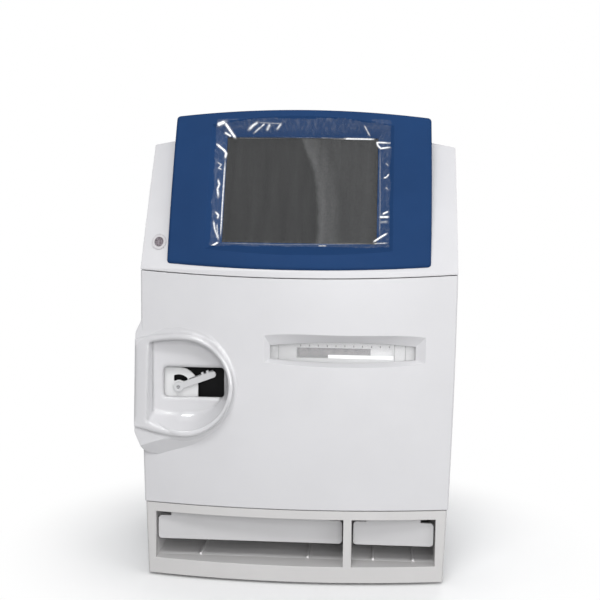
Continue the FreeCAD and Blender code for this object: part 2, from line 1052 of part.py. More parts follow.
def on_bezel_front(edge):
    """True for an edge of the bezel's outer front rim."""
    spot = edge.valueAt((edge.FirstParameter + edge.LastParameter) / 2)
    lean = value("display_lean")
    turn = Rotation(Vector(1, 0, 0), lean)
    place = turn.multVec(
        spot - Vector(0, value("display_y"), value("display_z"))
    )
    return place.y < 1.5


def make_display():
    """Touch glass, liquid crystal module, clear film and the pod behind the frame."""
    glass = slab(
        "glass_block",
        "screen",
        rect(
            "-(screen_half + glass_margin)",
            "screen_half + glass_margin",
            "screen_low - glass_margin",
            "screen_high + glass_margin",
        ),
        "glass_back",
        "glass_thick",
    )
    piece("touch_glass", glass)
    module = slab(
        "lcd_block",
        "screen",
        rect(
            "-(screen_half + lcd_margin)",
            "screen_half + lcd_margin",
            "screen_low - lcd_margin",
            "screen_high + lcd_margin",
        ),
        "lcd_back",
        "lcd_thick",
    )
    piece("lcd_module", module)
    film = slab(
        "film_block",
        "screen",
        rect("film_left", "film_right", "film_low", "film_high"),
        "-film_front + film_thick",
        "film_thick",
    )
    piece("screen_film", film)


def make_lamp():
    """The status lamp: a collar that follows the casing, and its lens set back inside."""
    tube = rod("lamp_tube", "y", ("lamp_x", "nose_y", "lamp_z"), "lamp_collar", "60")
    skin = sloped_slab("lamp_skin", "-lamp_proud", "lamp_deep")
    bore = rod("lamp_bore", "y", ("lamp_x", "nose_y - 5", "lamp_z"), "lamp_hole", "70")
    piece("lamp_collar", cut("lamp_collar_solid", common("lamp_ring", tube, skin), bore))
    lens = rod(
        "lamp_lens_solid",
        "y",
        ("lamp_x", "lens_y", "lamp_z"),
        "lamp_hole - pin_play",
        "lens_depth",
    )
    piece("status_lamp", lens)


def d_outline(x, z, radius, left, drop):
    """A letter D on its left side, as a front outline whose left corners draw in."""
    corners = [
        (left, f"({z}) - ({radius}) + ({drop})"),
        (x, f"({z}) - ({radius})"),
        (x, f"({z}) + ({radius})"),
        (left, f"({z}) + ({radius}) - ({drop})"),
    ]
    swell = f"({drop}) / 4"
    return corners, {0: swell, 1: f"({radius}) * 0.998", 2: swell}


def make_proud(name, less):
    """Everything behind a copy of the bowed front that leans out towards the foot."""
    low = "dish_z - dish_r - 60"
    lean = "(dish_proud_low - dish_proud_top) / (2 * dish_r)"
    start = f"-dish_proud_low - 60 * {lean} + {less}"
    block = Block(name, "plan", ("0", start, low))
    flat = block.outline(
        rect("-arc_half", "arc_half", "bowl_y", "door_back + 30"), {0: "front_bow"}
    )
    lean_pad(block, flat, lean, "2 * dish_r + 120")
    return block


def make_skirt():
    """The soft skirt that widens from the lip of the dish down to the door's face."""
    tip = "nose_y - 8"
    crest = f"(dish_r - skirt_slope * (skirt_level - ({tip})))"
    foot = "(dish_r + skirt_slope * (door_back - skirt_level))"
    cone = DOC.addObject("Part::Cone", "skirt_cone")
    cone.Placement = Placement(Vector(), ALONG["y"])
    bind(cone, "Radius1", crest)
    bind(cone, "Radius2", foot)
    bind(cone, "Height", f"door_back - ({tip})")
    for letter, text in zip("xyz", ("dish_x", tip, "dish_z")):
        bind(cone, f"Placement.Base.{letter}", text)
    wedge = slab(
        "skirt_wedge",
        "side",
        [
            ("door_back", f"dish_z - {foot}"),
            ("door_back", f"dish_z + {foot}"),
            (tip, f"dish_z + {crest}"),
            (tip, f"dish_z - {crest}"),
        ],
        "dish_left - flank_round",
        "dish_x - dish_left + flank_round",
    )
    flank = Block("flank_block", "front", ("0", "door_back", "0"))
    corners = [
        ("dish_left", "flank_low"),
        ("dish_left + flank_run / 2", "flank_low - flank_run"),
        (f"dish_x + {foot}", "flank_low - 2.5 * flank_run"),
        (f"dish_x + {foot}", "flank_high + 2.5 * flank_run"),
        ("dish_left + flank_run / 2", "flank_high + flank_run"),
        ("dish_left", "flank_high"),
    ]
    flank.pad(flank.outline(corners), "door_back - nose_y + 20")
    flank.soften(
        "Fillet",
        "flank_round",
        lambda edge: edge.BoundBox.XMax < value("dish_left") + value("flank_run")
        and edge.BoundBox.ZLength > 1,
    )
    block = fuse("skirt_block", cone, wedge)
    return common("skirt", block, make_proud("skirt_lean", "lip_step"), flank)


def make_mound():
    """The raised lip round the sampling dish, on its skirt."""
    block = Block("lip_block", "front", ("0", "door_back", "0"))
    corners, bows = d_outline("dish_x", "dish_z", "dish_r", "dish_left", "dish_drop")
    block.pad(block.outline(corners, bows), "door_back - nose_y + 20")
    lip = common("lip", block, make_proud("lip_lean", "0"))
    return fuse("mound", lip, make_skirt())


def view_outline(side, below, above):
    """The window's outline in its own plane, grown on its sides, below and above."""
    return rect(
        f"-(view_half + {side})",
        f"view_half + {side}",
        f"view_low - ({below})",
        f"view_high + ({above})",
    )


def make_door_cavity():
    """The hollow of the door, less the bosses, sleeves and ribs that stand in it."""
    hollow = common(
        "door_hollow",
        envelope("door_hollow_envelope", "wall", "body_low"),
        seam_band("door_hollow_band", "door_low + wall", "door_high - wall", None, "seam_sag"),
        bowed_plan(
            "door_hollow_plan", "wall", "door_back + 5", "seam_low - 5", "seam_high + 20"
        ),
    )
    corners, bows = d_outline(
        "dish_x", "dish_z", "dish_r - 1", "-barrel_half", "dish_drop"
    )
    boss = slab("dish_boss", "front", corners, "floor_back", "floor_back - nose_y + 20", bows)
    sleeve = slab(
        "view_sleeve",
        "view",
        view_outline("view_rim", "bevel_below + view_bow", "view_rim + view_bow"),
        "view_wall",
        "view_wall + view_depth + 6",
    )
    ribs = fuse(
        "door_rib_grid",
        *[
            box(
                f"door_rib_{number}",
                "-barrel_half",
                "barrel_half",
                "nose_y",
                "edge_y + 20",
                f"{height} - rib_thick / 2",
                f"{height} + rib_thick / 2",
            )
            for number, height in enumerate(("rib_low", "rib_mid", "rib_high"))
        ],
        *[
            box(
                f"door_post_{number}",
                f"{place} - rib_thick / 2",
                f"{place} + rib_thick / 2",
                "nose_y",
                "edge_y + 20",
                "door_low",
                "rib_top",
            )
            for number, place in enumerate(("-post_x", "0", "post_x"))
        ],
    )
    behind = bowed_plan("rib_limit", "wall + rib_tall", "door_back + 5", "0", "seam_high + 20")
    pillars = [
        rod(f"hinge_boss_{place}", "z", ("hinge_x", "hinge_y", low), "hinge_boss", tall)
        for place, low, tall in (
            ("low", "door_low", "hinge_reach + 1"),
            ("high", "hinge_top - hinge_seat - hinge_reach - 1", "hinge_reach + 20"),
        )
    ]
    strike = box(
        "strike_boss",
        "strike_x - strike_wide / 2",
        "strike_x + strike_wide / 2",
        "nose_y",
        "strike_y - strike_thick",
        "strike_z - strike_tall / 2",
        "strike_z + strike_tall / 2",
    )
    rib_set = cut("door_ribs", ribs, behind)
    return cut("door_cavity", hollow, boss, sleeve, rib_set, strike, *pillars)


def make_door():
    """The front door: hollow bowed panel, sampling dish with its port, viewing window."""
    outer = common(
        "door_outer",
        envelope("door_envelope", "0", "body_low"),
        seam_band("door_band", "door_low", "door_high", None, "seam_sag"),
        bowed_plan("door_plan", "0", "door_back", "seam_low - 5", "seam_high + 20"),
    )
    panel = round_edges(
        "door_panel",
        outer,
        "edge_round",
        lambda edge: upright(edge) and edge.BoundBox.YMax < value("edge_y") + 2,
    )
    body = cut("door_body", fuse("door_blank", panel, make_mound()), make_door_cavity())
    recess = Block("dish_recess", "front", ("0", "floor_y", "0"))
    corners, bows = d_outline("floor_x", "floor_z", "floor_r", "floor_left", "mouth_drop")
    floor = recess.outline(corners, bows)
    reach = "(floor_y - nose_y + 12) / (floor_y - nose_y - 2)"
    corners, bows = d_outline(
        f"floor_x + (mouth_x - floor_x) * {reach}",
        f"floor_z + (mouth_z - floor_z) * {reach}",
        f"floor_r + (mouth_r - floor_r) * {reach}",
        f"floor_left + (mouth_left - floor_left) * {reach}",
        "mouth_drop",
    )
    recess.loft(floor, recess.outline(corners, bows, "floor_y - nose_y + 12"))
    port = Block("port_block", "front", ("0", "floor_back + 2", "0"))
    port.pad(
        port.outline(rect("port_left", "port_right", "port_low", "port_high")),
        "floor_wall + 4",
    )
    port.soften("Fillet", "port_round", lambda edge: edge.BoundBox.ZLength > 1)
    bevel = Block("bevel_block", "view", view_base("0"))
    sag = {0: "view_bow", 2: "view_bow"}
    inner = bevel.outline(view_outline("0", "0", "0"), sag)
    wide = rect(
        "-view_half - 2 * bevel_left",
        "view_half + 2 * bevel_right",
        "view_low - 2 * bevel_below",
        "view_high + 2 * bevel_above",
    )
    flare = {0: "bevel_sag", 2: "-bevel_dip"}
    bevel.loft(inner, bevel.outline(wide, flare, "2 * view_depth"))
    opening = slab(
        "view_opening",
        "view",
        view_outline("0", "0", "0"),
        "view_wall + 1",
        "view_wall + 2",
        sag,
    )
    relief = slab(
        "hinge_relief_block",
        "plan",
        [
            ("barrel_half + 1", "door_back - hinge_relief - 1"),
            ("barrel_half + 1", "door_back + 1"),
            ("barrel_half - hinge_relief - 1", "door_back + 1"),
        ],
        "door_low - 5",
        "crown_z - door_low",
    )
    bore_low = rod(
        "hinge_bore_low",
        "z",
        ("hinge_x", "hinge_y", "door_low - 5"),
        "hinge_pin + pin_play",
        "hinge_reach + 8",
    )
    bore_high = rod(
        "hinge_bore_high",
        "z",
        ("hinge_x", "hinge_y", "hinge_top - hinge_seat - hinge_reach - 3"),
        "hinge_pin + pin_play",
        "hinge_reach + 20",
    )
    piece(
        "front_door",
        cut("door_solid", body, recess, port, bevel, opening, relief, bore_low, bore_high),
    )


def make_door_fittings():
    """Window pane, hinge pins, and the strike and magnet that hold the door shut."""
    rim = "pane_margin + view_bow"
    pane = slab(
        "pane_block",
        "view",
        view_outline("pane_margin", rim, rim),
        "view_wall + pane_thick",
        "pane_thick",
    )
    piece("window_pane", pane)
    low = rod(
        "hinge_pin_low",
        "z",
        ("hinge_x", "hinge_y", "fascia_top - hinge_seat"),
        "hinge_pin",
        "door_low + hinge_reach - fascia_top + hinge_seat",
    )
    high = rod(
        "hinge_pin_high",
        "z",
        ("hinge_x", "hinge_y", "hinge_top - hinge_seat - hinge_reach"),
        "hinge_pin",
        "2 * hinge_seat + hinge_reach",
    )
    piece("hinge_pins", group("hinge_pin_pair", low, high))

    def pad_box(name, front, back):
        return box(
            name,
            "strike_x - strike_wide / 2 + 1",
            "strike_x + strike_wide / 2 - 1",
            front,
            back,
            "strike_z - strike_tall / 2 + 1",
            "strike_z + strike_tall / 2 - 1",
        )

    piece("strike_plate", pad_box("strike_solid", "strike_y - strike_thick", "strike_y"))
    piece("door_magnet", pad_box("magnet_solid", "strike_y + catch_gap", "bulkhead_y"))


BAY_SIDES = {
    "left": ("bay_left", "divider_left", "left_flap_l", "left_flap_r"),
    "right": ("divider_right", "bay_right", "right_flap_l", "right_flap_r"),
}


def make_fascia():
    """The lower front: one shell with two framed bay openings and the flap ears."""
    outer = common(
        "fascia_outer",
        envelope("fascia_envelope", "fascia_inset", "body_low"),
        seam_band("fascia_band", "body_low", "fascia_top"),
        bowed_plan("fascia_plan", "0", "door_back", "0", "seam_low + 10"),
    )
    blank = round_edges(
        "fascia_blank",
        outer,
        "edge_round",
        lambda edge: upright(edge) and edge.BoundBox.YMax < value("edge_y") + 2,
    )
    hollow = common(
        "fascia_hollow",
        envelope("fascia_hollow_envelope", "fascia_inset + wall", "body_low"),
        seam_band("fascia_hollow_band", "body_low + wall", "fascia_top - wall"),
        bowed_plan("fascia_hollow_plan", "wall", "door_back + 5", "0", "seam_low + 10"),
    )
    sleeve = box(
        "bay_sleeve",
        "bay_left - sleeve_wall",
        "bay_right + sleeve_wall",
        "nose_y",
        "sleeve_back",
        "bay_low - sleeve_wall",
        "bay_high + sleeve_wall",
    )
    seat = rod(
        "fascia_hinge_seat",
        "z",
        ("hinge_x", "hinge_y", "fascia_top - hinge_seat - wall"),
        "hinge_boss",
        "hinge_seat + wall",
    )
    cavity = cut("fascia_cavity", hollow, sleeve, seat)
    tools = [cavity]
    ears = []
    holes = []
    for side, (left, right, flap_left, flap_right) in BAY_SIDES.items():
        tools.append(
            box(
                f"{side}_bay_opening",
                left,
                right,
                "nose_y - 5",
                "sleeve_back + 1",
                "bay_low",
                "bay_high",
            )
        )
        tools.append(
            box(
                f"{side}_flap_slot",
                left,
                right,
                "slot_front",
                "sleeve_back + 1",
                "bay_high - 1",
                "bay_high + sleeve_wall + 1",
            )
        )
        for end, start in (
            ("l", f"{flap_left} + neck_inset - ear_gap - ear_thick"),
            ("r", f"{flap_right} - neck_inset + ear_gap"),
        ):
            ears.append(
                box(
                    f"{side}_ear_{end}",
                    start,
                    f"{start} + ear_thick",
                    "slot_front - 1",
                    "flap_axis_y + 3.6",
                    "bay_high + 0.2",
                    "fascia_top - wall + 1",
                )
            )
        holes.append(
            rod(
                f"{side}_rod_hole",
                "x",
                (left, "flap_axis_y", "flap_axis_z"),
                "flap_rod + pin_play",
                f"{right} - ({left})",
            )
        )
    hinge = rod(
        "fascia_hinge_hole",
        "z",
        ("hinge_x", "hinge_y", "fascia_top - hinge_seat"),
        "hinge_pin",
        "hinge_seat + 5",
    )
    shell = cut("fascia_shell", blank, *tools)
    piece(
        "front_fascia",
        cut("fascia_solid", fuse("fascia_eared", shell, *ears), hinge, *holes),
    )


def make_flaps():
    """The two swing flaps, each hung from a steel rod behind the lip of its bay."""
    rods = []
    for side, (left, right, flap_left, flap_right) in BAY_SIDES.items():
        neck_left = f"{flap_left} + neck_inset"
        neck_right = f"{flap_right} - neck_inset"
        panel = Block(f"{side}_flap_panel", "front", ("0", "flap_y + flap_thick", "0"))
        panel.pad(
            panel.outline(
                [
                    (flap_left, "flap_low"),
                    (flap_right, "flap_low"),
                    (flap_right, "flap_shoulder"),
                    (neck_right, "flap_shoulder"),
                    (neck_right, "flap_axis_z"),
                    (neck_left, "flap_axis_z"),
                    (neck_left, "flap_shoulder"),
                    (flap_left, "flap_shoulder"),
                ]
            ),
            "flap_thick",
        )
        panel.soften(
            "Fillet",
            "flap_corner",
            lambda edge, l=flap_left, r=flap_right: edge.BoundBox.ZLength > 1
            and edge.BoundBox.XLength < 0.01
            and (near(edge.BoundBox.XMin, l) or near(edge.BoundBox.XMin, r))
            and edge.BoundBox.YLength < 0.01,
        )
        knuckle = rod(
            f"{side}_knuckle",
            "x",
            (neck_left, "flap_axis_y", "flap_axis_z"),
            "flap_knuckle",
            f"{neck_right} - ({neck_left})",
        )
        bore = rod(
            f"{side}_flap_bore",
            "x",
            (left, "flap_axis_y", "flap_axis_z"),
            "flap_rod + pin_play",
            f"{right} - ({left})",
        )
        blank = fuse(f"{side}_flap_blank", panel, knuckle)
        piece(f"{side}_bay_flap", cut(f"{side}_flap_solid", blank, bore))
        rods.append(
            rod(
                f"{side}_flap_rod",
                "x",
                (f"{neck_left} - ear_gap - ear_thick", "flap_axis_y", "flap_axis_z"),
                "flap_rod",
                f"{neck_right} - ({neck_left}) + 2 * ear_gap + 2 * ear_thick",
            )
        )
    piece("flap_rods", group("flap_rod_pair", *rods))


def make_trays():
    """The two bay trays: floor, three walls, guide rails on top and skids below."""
    guides = {"left": ("guide_one", "guide_two"), "right": ("guide_three", "guide_four")}
    needles = {
        "left": ("needle_left - needle_pitch", "needle_left", "needle_left + needle_pitch"),
        "right": ("needle_right",),
    }
    steel = []
    for side, (left, right, _, _) in BAY_SIDES.items():
        tray = Block(f"{side}_tray", "plan", ("0", "0", "tray_floor"))
        outline = rect(f"{left} - tray_wall", f"{right} + tray_wall", "tray_front", "tray_back")
        tray.pad(tray.outline(outline), "tray_top - tray_floor")
        hollow = rect(left, right, "tray_front - 1", "tray_back - tray_wall")
        tray.pocket(
            tray.outline(hollow, height="tray_top - tray_floor"), "tray_top - bay_low"
        )
        for place in guides[side]:
            rail = rect(
                f"{place} - guide_wide / 2",
                f"{place} + guide_wide / 2",
                "tray_front",
                "tray_back - tray_wall",
            )
            tray.pad(tray.outline(rail, height="tray_wall"), "guide_tall")
        for start in (f"{left} + 6", f"{right} - 6 - skid_wide"):
            skid = rect(start, f"{start} + skid_wide", "plate_front + 4", "tray_back - 4")
            tray.pad(
                tray.outline(skid, height="plate_top - tray_floor"),
                "tray_floor - plate_top",
            )
        piece(f"{side}_bay_tray", tray)
        for number, place in enumerate(needles[side]):
            base = "tray_back - tray_wall - needle_base_deep"
            steel.append(
                fuse(
                    f"{side}_needle_{number}",
                    rod(
                        f"{side}_needle_base_{number}",
                        "y",
                        (place, base, "needle_z"),
                        "needle_base",
                        "needle_base_deep",
                    ),
                    rod(
                        f"{side}_needle_shank_{number}",
                        "y",
                        (place, f"{base} - needle_reach", "needle_z"),
                        "needle_r",
                        "needle_reach + 1",
                    ),
                )
            )
    piece("reagent_needles", group("needle_set", *steel))


def make_frame():
    """Base plate with its feet, and the bent sheet chassis above the bays."""
    plate = Block("plate_block", "plan", ("0", "0", "plate_low"))
    plate_half = "bottom_half - wall - plate_clear"
    plate_rear = "rear_inner - plate_clear"
    plate.pad(
        plate.outline(rect(f"-({plate_half})", plate_half, "plate_front", plate_rear)),
        "plate_thick",
    )
    plate.soften(
        "Fillet",
        "rear_round - wall",
        lambda edge: edge.BoundBox.ZLength > 1 and near(edge.BoundBox.YMax, plate_rear),
    )
    piece("base_plate", plate)
    feet = []
    for number, (x, y) in enumerate(
        (
            ("-foot_x", "foot_front"),
            ("foot_x", "foot_front"),
            ("-foot_x", "foot_rear"),
            ("foot_x", "foot_rear"),
        )
    ):
        foot = rod(f"foot_block_{number}", "z", (x, y, "0"), "foot_r", "plate_low")
        feet.append(
            round_edges(
                f"foot_{number}",
                foot,
                "foot_edge",
                lambda edge: edge.BoundBox.ZMax < 0.01,
            )
        )
    piece("feet", group("foot_set", *feet))
    deck = box(
        "deck",
        "-bulkhead_half",
        "bulkhead_half",
        "bulkhead_y",
        "deck_rear",
        "deck_low",
        "deck_top",
    )
    wall = box(
        "bulkhead",
        "-bulkhead_half",
        "bulkhead_half",
        "bulkhead_y",
        "bulkhead_y + sheet",
        "deck_low",
        "bulkhead_high",
    )
    gussets = [
        slab(
            f"gusset_{side}",
            "side",
            [
                ("bulkhead_y + 0.5", "deck_low + 0.5"),
                ("bulkhead_y + gusset_depth", "deck_low + 0.5"),
                ("bulkhead_y + gusset_depth", "deck_top + 10"),
                ("bulkhead_y + sheet + 10", "gusset_high"),
                ("bulkhead_y + 0.5", "gusset_high"),
            ],
            start,
            "sheet",
        )
        for side, start in (("left", "-bulkhead_half"), ("right", "bulkhead_half - sheet"))
    ]
    shaft = rod(
        "bulkhead_shaft_hole",
        "y",
        ("pump_x", "bulkhead_y - 5", "pump_z"),
        "rotor_shaft + 0.5",
        "15",
    )
    piece("chassis_frame", cut("chassis", fuse("chassis_blank", deck, wall, *gussets), shaft))


def make_sampler():
    """The sampling head behind the port: case, cam plate, lever with its probe."""
    case = Block("sampler_box", "front", ("0", "bulkhead_y", "0"))
    case.pad(
        case.outline(rect("case_left", "case_right", "case_low", "case_high")),
        "bulkhead_y - cam_back",
    )
    case.pocket(
        case.outline(
            rect(
                "case_left + case_wall",
                "case_right - case_wall",
                "case_low + case_wall",
                "case_high - case_wall",
            ),
            height="bulkhead_y - cam_back",
        ),
        "bulkhead_y - cam_back - case_wall",
    )
    piece("sampler_case", case)
    quarter = "cam_r * (1 - cos(45))"
    cam = slab(
        "cam_block",
        "front",
        [
            ("case_left", "case_low"),
            ("hub_x + cam_r", "case_low"),
            ("hub_x + cam_r", "hub_z"),
            ("hub_x", "hub_z + cam_r"),
            ("case_left", "hub_z + cam_r"),
        ],
        "cam_back",
        "cam_thick",
        {2: quarter},
    )
    ring = cut(
        "cam_ring",
        rod("cam_ring_out", "y", ("hub_x", "cam_front - 1", "hub_z"), "slot_outer", "cam_thick + 2"),
        rod("cam_ring_in", "y", ("hub_x", "cam_front - 2", "hub_z"), "slot_inner", "cam_thick + 4"),
    )
    upper = box(
        "cam_ring_limit",
        "hub_x - slot_left",
        "hub_x + slot_right",
        "cam_front - 3",
        "cam_back + 3",
        "hub_z + slot_start",
        "hub_z + 20",
    )
    hole = rod(
        "cam_pin_hole",
        "y",
        ("hub_x", "cam_front - 1", "hub_z"),
        "lever_pin_r + pin_play",
        "cam_thick + 2",
    )
    piece("sampler_plate", cut("cam_solid", cam, common("cam_slot", ring, upper), hole))
    piece(
        "lever_pin",
        rod(
            "lever_pin_solid",
            "y",
            ("hub_x", "lever_front - hub_proud", "hub_z"),
            "lever_pin_r",
            "cam_back + 3 - lever_front + hub_proud",
        ),
    )
    lever = Block("lever_block", "front", ("hub_x", "lever_back", "hub_z"))
    arm = rect("0", "lever_reach - lever_wide / 2", "-lever_wide / 2", "lever_wide / 2")
    lever.pad(lever.outline(arm, {1: "lever_wide * 0.499"}, turn="lever_angle"), "lever_thick")
    for place in ("clip_one", "clip_two"):
        clip = rect(
            f"{place} - clip_wide / 2",
            f"{place} + clip_wide / 2",
            "lever_wide / 2 - 1",
            "lever_wide / 2 + clip_tall",
        )
        lever.pad(lever.outline(clip, turn="lever_angle"), "lever_thick")
    hub = lever.sketch()
    draw_circle(hub, "0", "0", "hub_r")
    lever.pad(hub, "lever_thick + hub_proud")
    bore = lever.sketch("lever_thick + hub_proud")
    draw_circle(bore, "0", "0", "lever_pin_r + pin_play")
    lever.pocket(bore, "lever_thick + hub_proud")

    def probe_rod(name, start, length, radius):
        along = f"({start})"
        across = "(lever_wide / 2 + probe_r + pin_play)"
        solid = DOC.addObject("Part::Cylinder", name)
        solid.Placement = Placement(Vector(), Rotation(Vector(0, 1, 0), 69))
        bind(solid, "Placement.Rotation.Angle", "90 - lever_angle")
        bind(solid, "Radius", radius)
        bind(solid, "Height", length)
        spot = (
            f"hub_x + {along} * cos(lever_angle) - {across} * sin(lever_angle)",
            "lever_front + lever_thick / 2",
            f"hub_z + {along} * sin(lever_angle) + {across} * cos(lever_angle)",
        )
        for letter, text in zip("xyz", spot):
            bind(solid, f"Placement.Base.{letter}", text)
        return solid

    channel = probe_rod("probe_channel", "probe_start", "60", "probe_r + 0.03")
    piece("sample_lever", cut("lever_solid", lever, channel))
    needle = probe_rod(
        "sample_probe_solid", "probe_start", "lever_reach - probe_start - 1.5", "probe_r"
    )
    piece("sample_probe", needle)


def make_cell():
    """The electrode module seen through the window."""
    house = box(
        "cell_block", "cell_left", "cell_right", "cell_front", "bulkhead_y", "cell_low", "cell_high"
    )
    channel = box(
        "cell_channel",
        "channel_left",
        "channel_right",
        "cell_front - 1",
        "cell_front + channel_deep",
        "channel_low",
        "channel_high",
    )
    piece("electrode_housing", cut("cell_solid", house, channel))
    mid = "(channel_low + channel_high) / 2"
    floor = "cell_front + channel_deep"
    probes = []
    for number in range(int(SIZES["electrode_count"])):
        place = f"channel_left + electrode_first + {number} * electrode_pitch"
        probes.append(
            fuse(
                f"electrode_{number}",
                rod(
                    f"electrode_body_{number}",
                    "y",
                    (place, f"{floor} - electrode_long", mid),
                    "electrode_r",
                    "electrode_long",
                ),
                rod(
                    f"electrode_cap_{number}",
                    "y",
                    (place, f"{floor} - electrode_long - electrode_cap", mid),
                    "electrode_cap_r",
                    "electrode_cap + 1",
                ),
            )
        )
    piece("electrodes", group("electrode_set", *probes))
    bar = "cell_front + 0.3"
    piece(
        "flow_cell",
        box(
            "flow_cell_solid",
            "bar_left",
            "channel_right",
            bar,
            f"{bar} + bar_thick",
            "channel_low",
            "channel_low + bar_tall",
        ),
    )
    piece(
        "cell_end_block",
        box(
            "end_block_solid",
            "cell_right",
            "end_right",
            "cell_front + 0.5",
            "cell_front + end_deep",
            "end_low",
            "end_high",
        ),
    )


def make_pump():
    """Peristaltic pump: body with its track, rotor with three rollers, tube, motor."""
    body = Block("pump_block", "front", ("0", "bulkhead_y", "0"))
    body.pad(
        body.outline(
            rect(
                "pump_x - pump_half",
                "pump_x + pump_half",
                "pump_z - pump_half",
                "pump_z + pump_half",
            )
        ),
        "pump_deep",
    )
    body.soften("Fillet", "pump_corner", lambda edge: edge.BoundBox.ZLength > 1)
    track = cut(
        "track",
        rod("track_out", "y", ("pump_x", "track_front", "pump_z"), "track_outer", "track_deep + 1"),
        rod("track_in", "y", ("pump_x", "track_front - 1", "pump_z"), "track_r", "track_deep + 1"),
        box(
            "track_gap",
            "pump_x - 40",
            "pump_x + 40",
            "track_front - 2",
            "pump_front",
            "pump_z - 40",
            "pump_z - track_open",
        ),
    )
    hole = rod(
        "pump_shaft_hole",
        "y",
        ("pump_x", "pump_front - 5", "pump_z"),
        "rotor_shaft + pin_play",
        "pump_deep + 10",
    )
    piece("pump_body", cut("pump_solid", fuse("pump_blank", body, track), hole))
    gap = "roller_play"
    rear_disc = f"pump_front - {gap} - rotor_disc"
    front_disc = f"{rear_disc} - roller_long - 2 * {gap} - rotor_disc"
    cheeks = [
        rod(f"rotor_disc_{number}", "y", ("pump_x", start, "pump_z"), "rotor_r", "rotor_disc")
        for number, start in enumerate((front_disc, rear_disc))
    ]
    hub = rod(
        "rotor_hub_solid",
        "y",
        ("pump_x", front_disc, "pump_z"),
        "rotor_hub",
        f"pump_front - {gap} - ({front_disc})",
    )
    shaft = rod(
        "rotor_shaft_solid",
        "y",
        ("pump_x", rear_disc, "pump_z"),
        "rotor_shaft",
        f"bulkhead_y + 1 - ({rear_disc})",
    )
    pins = []
    for number in range(3):
        turn = f"{90 + 120 * number}"
        spot = (
            f"pump_x + roller_orbit * cos({turn})",
            front_disc,
            f"pump_z + roller_orbit * sin({turn})",
        )
        pins.append(
            rod(f"roller_pin_{number}", "y", spot, "roller_pin", f"pump_front - {gap} - ({front_disc})")
        )
        start = (spot[0], f"{front_disc} + rotor_disc + {gap}", spot[2])
        roller = cut(
            f"roller_{number}_solid",
            rod(f"roller_{number}_out", "y", start, "roller_r", "roller_long"),
            rod(f"roller_{number}_bore", "y", spot, "roller_pin + pin_play", "roller_long + 8"),
        )
        piece(f"pump_roller_{number + 1}", roller)
    piece("pump_rotor", fuse("rotor_solid", *cheeks, hub, shaft, *pins))
    middle = f"{front_disc} + rotor_disc + {gap} + roller_long / 2"
    bend = DOC.addObject("Part::Torus", "tube_bend")
    bend.Placement = Placement(Vector(), Rotation(Vector(1, 0, 0), 90))
    bind(bend, "Radius1", "tube_path_r")
    bind(bend, "Radius2", "tube_r")
    bend.Angle3 = 180
    for letter, text in zip("xyz", ("pump_x", middle, "pump_z")):
        bind(bend, f"Placement.Base.{letter}", text)
    legs = [
        rod(
            f"tube_leg_{side}",
            "z",
            (f"pump_x {sign} tube_path_r", middle, "pump_z - tube_drop"),
            "tube_r",
            "tube_drop",
        )
        for side, sign in (("left", "-"), ("right", "+"))
    ]
    piece("pump_tube", fuse("tube_solid", bend, *legs))
    piece(
        "pump_motor",
        rod(
            "motor_solid", "y", ("pump_x", "bulkhead_y + sheet", "pump_z"), "motor_r", "motor_long"
        ),
    )


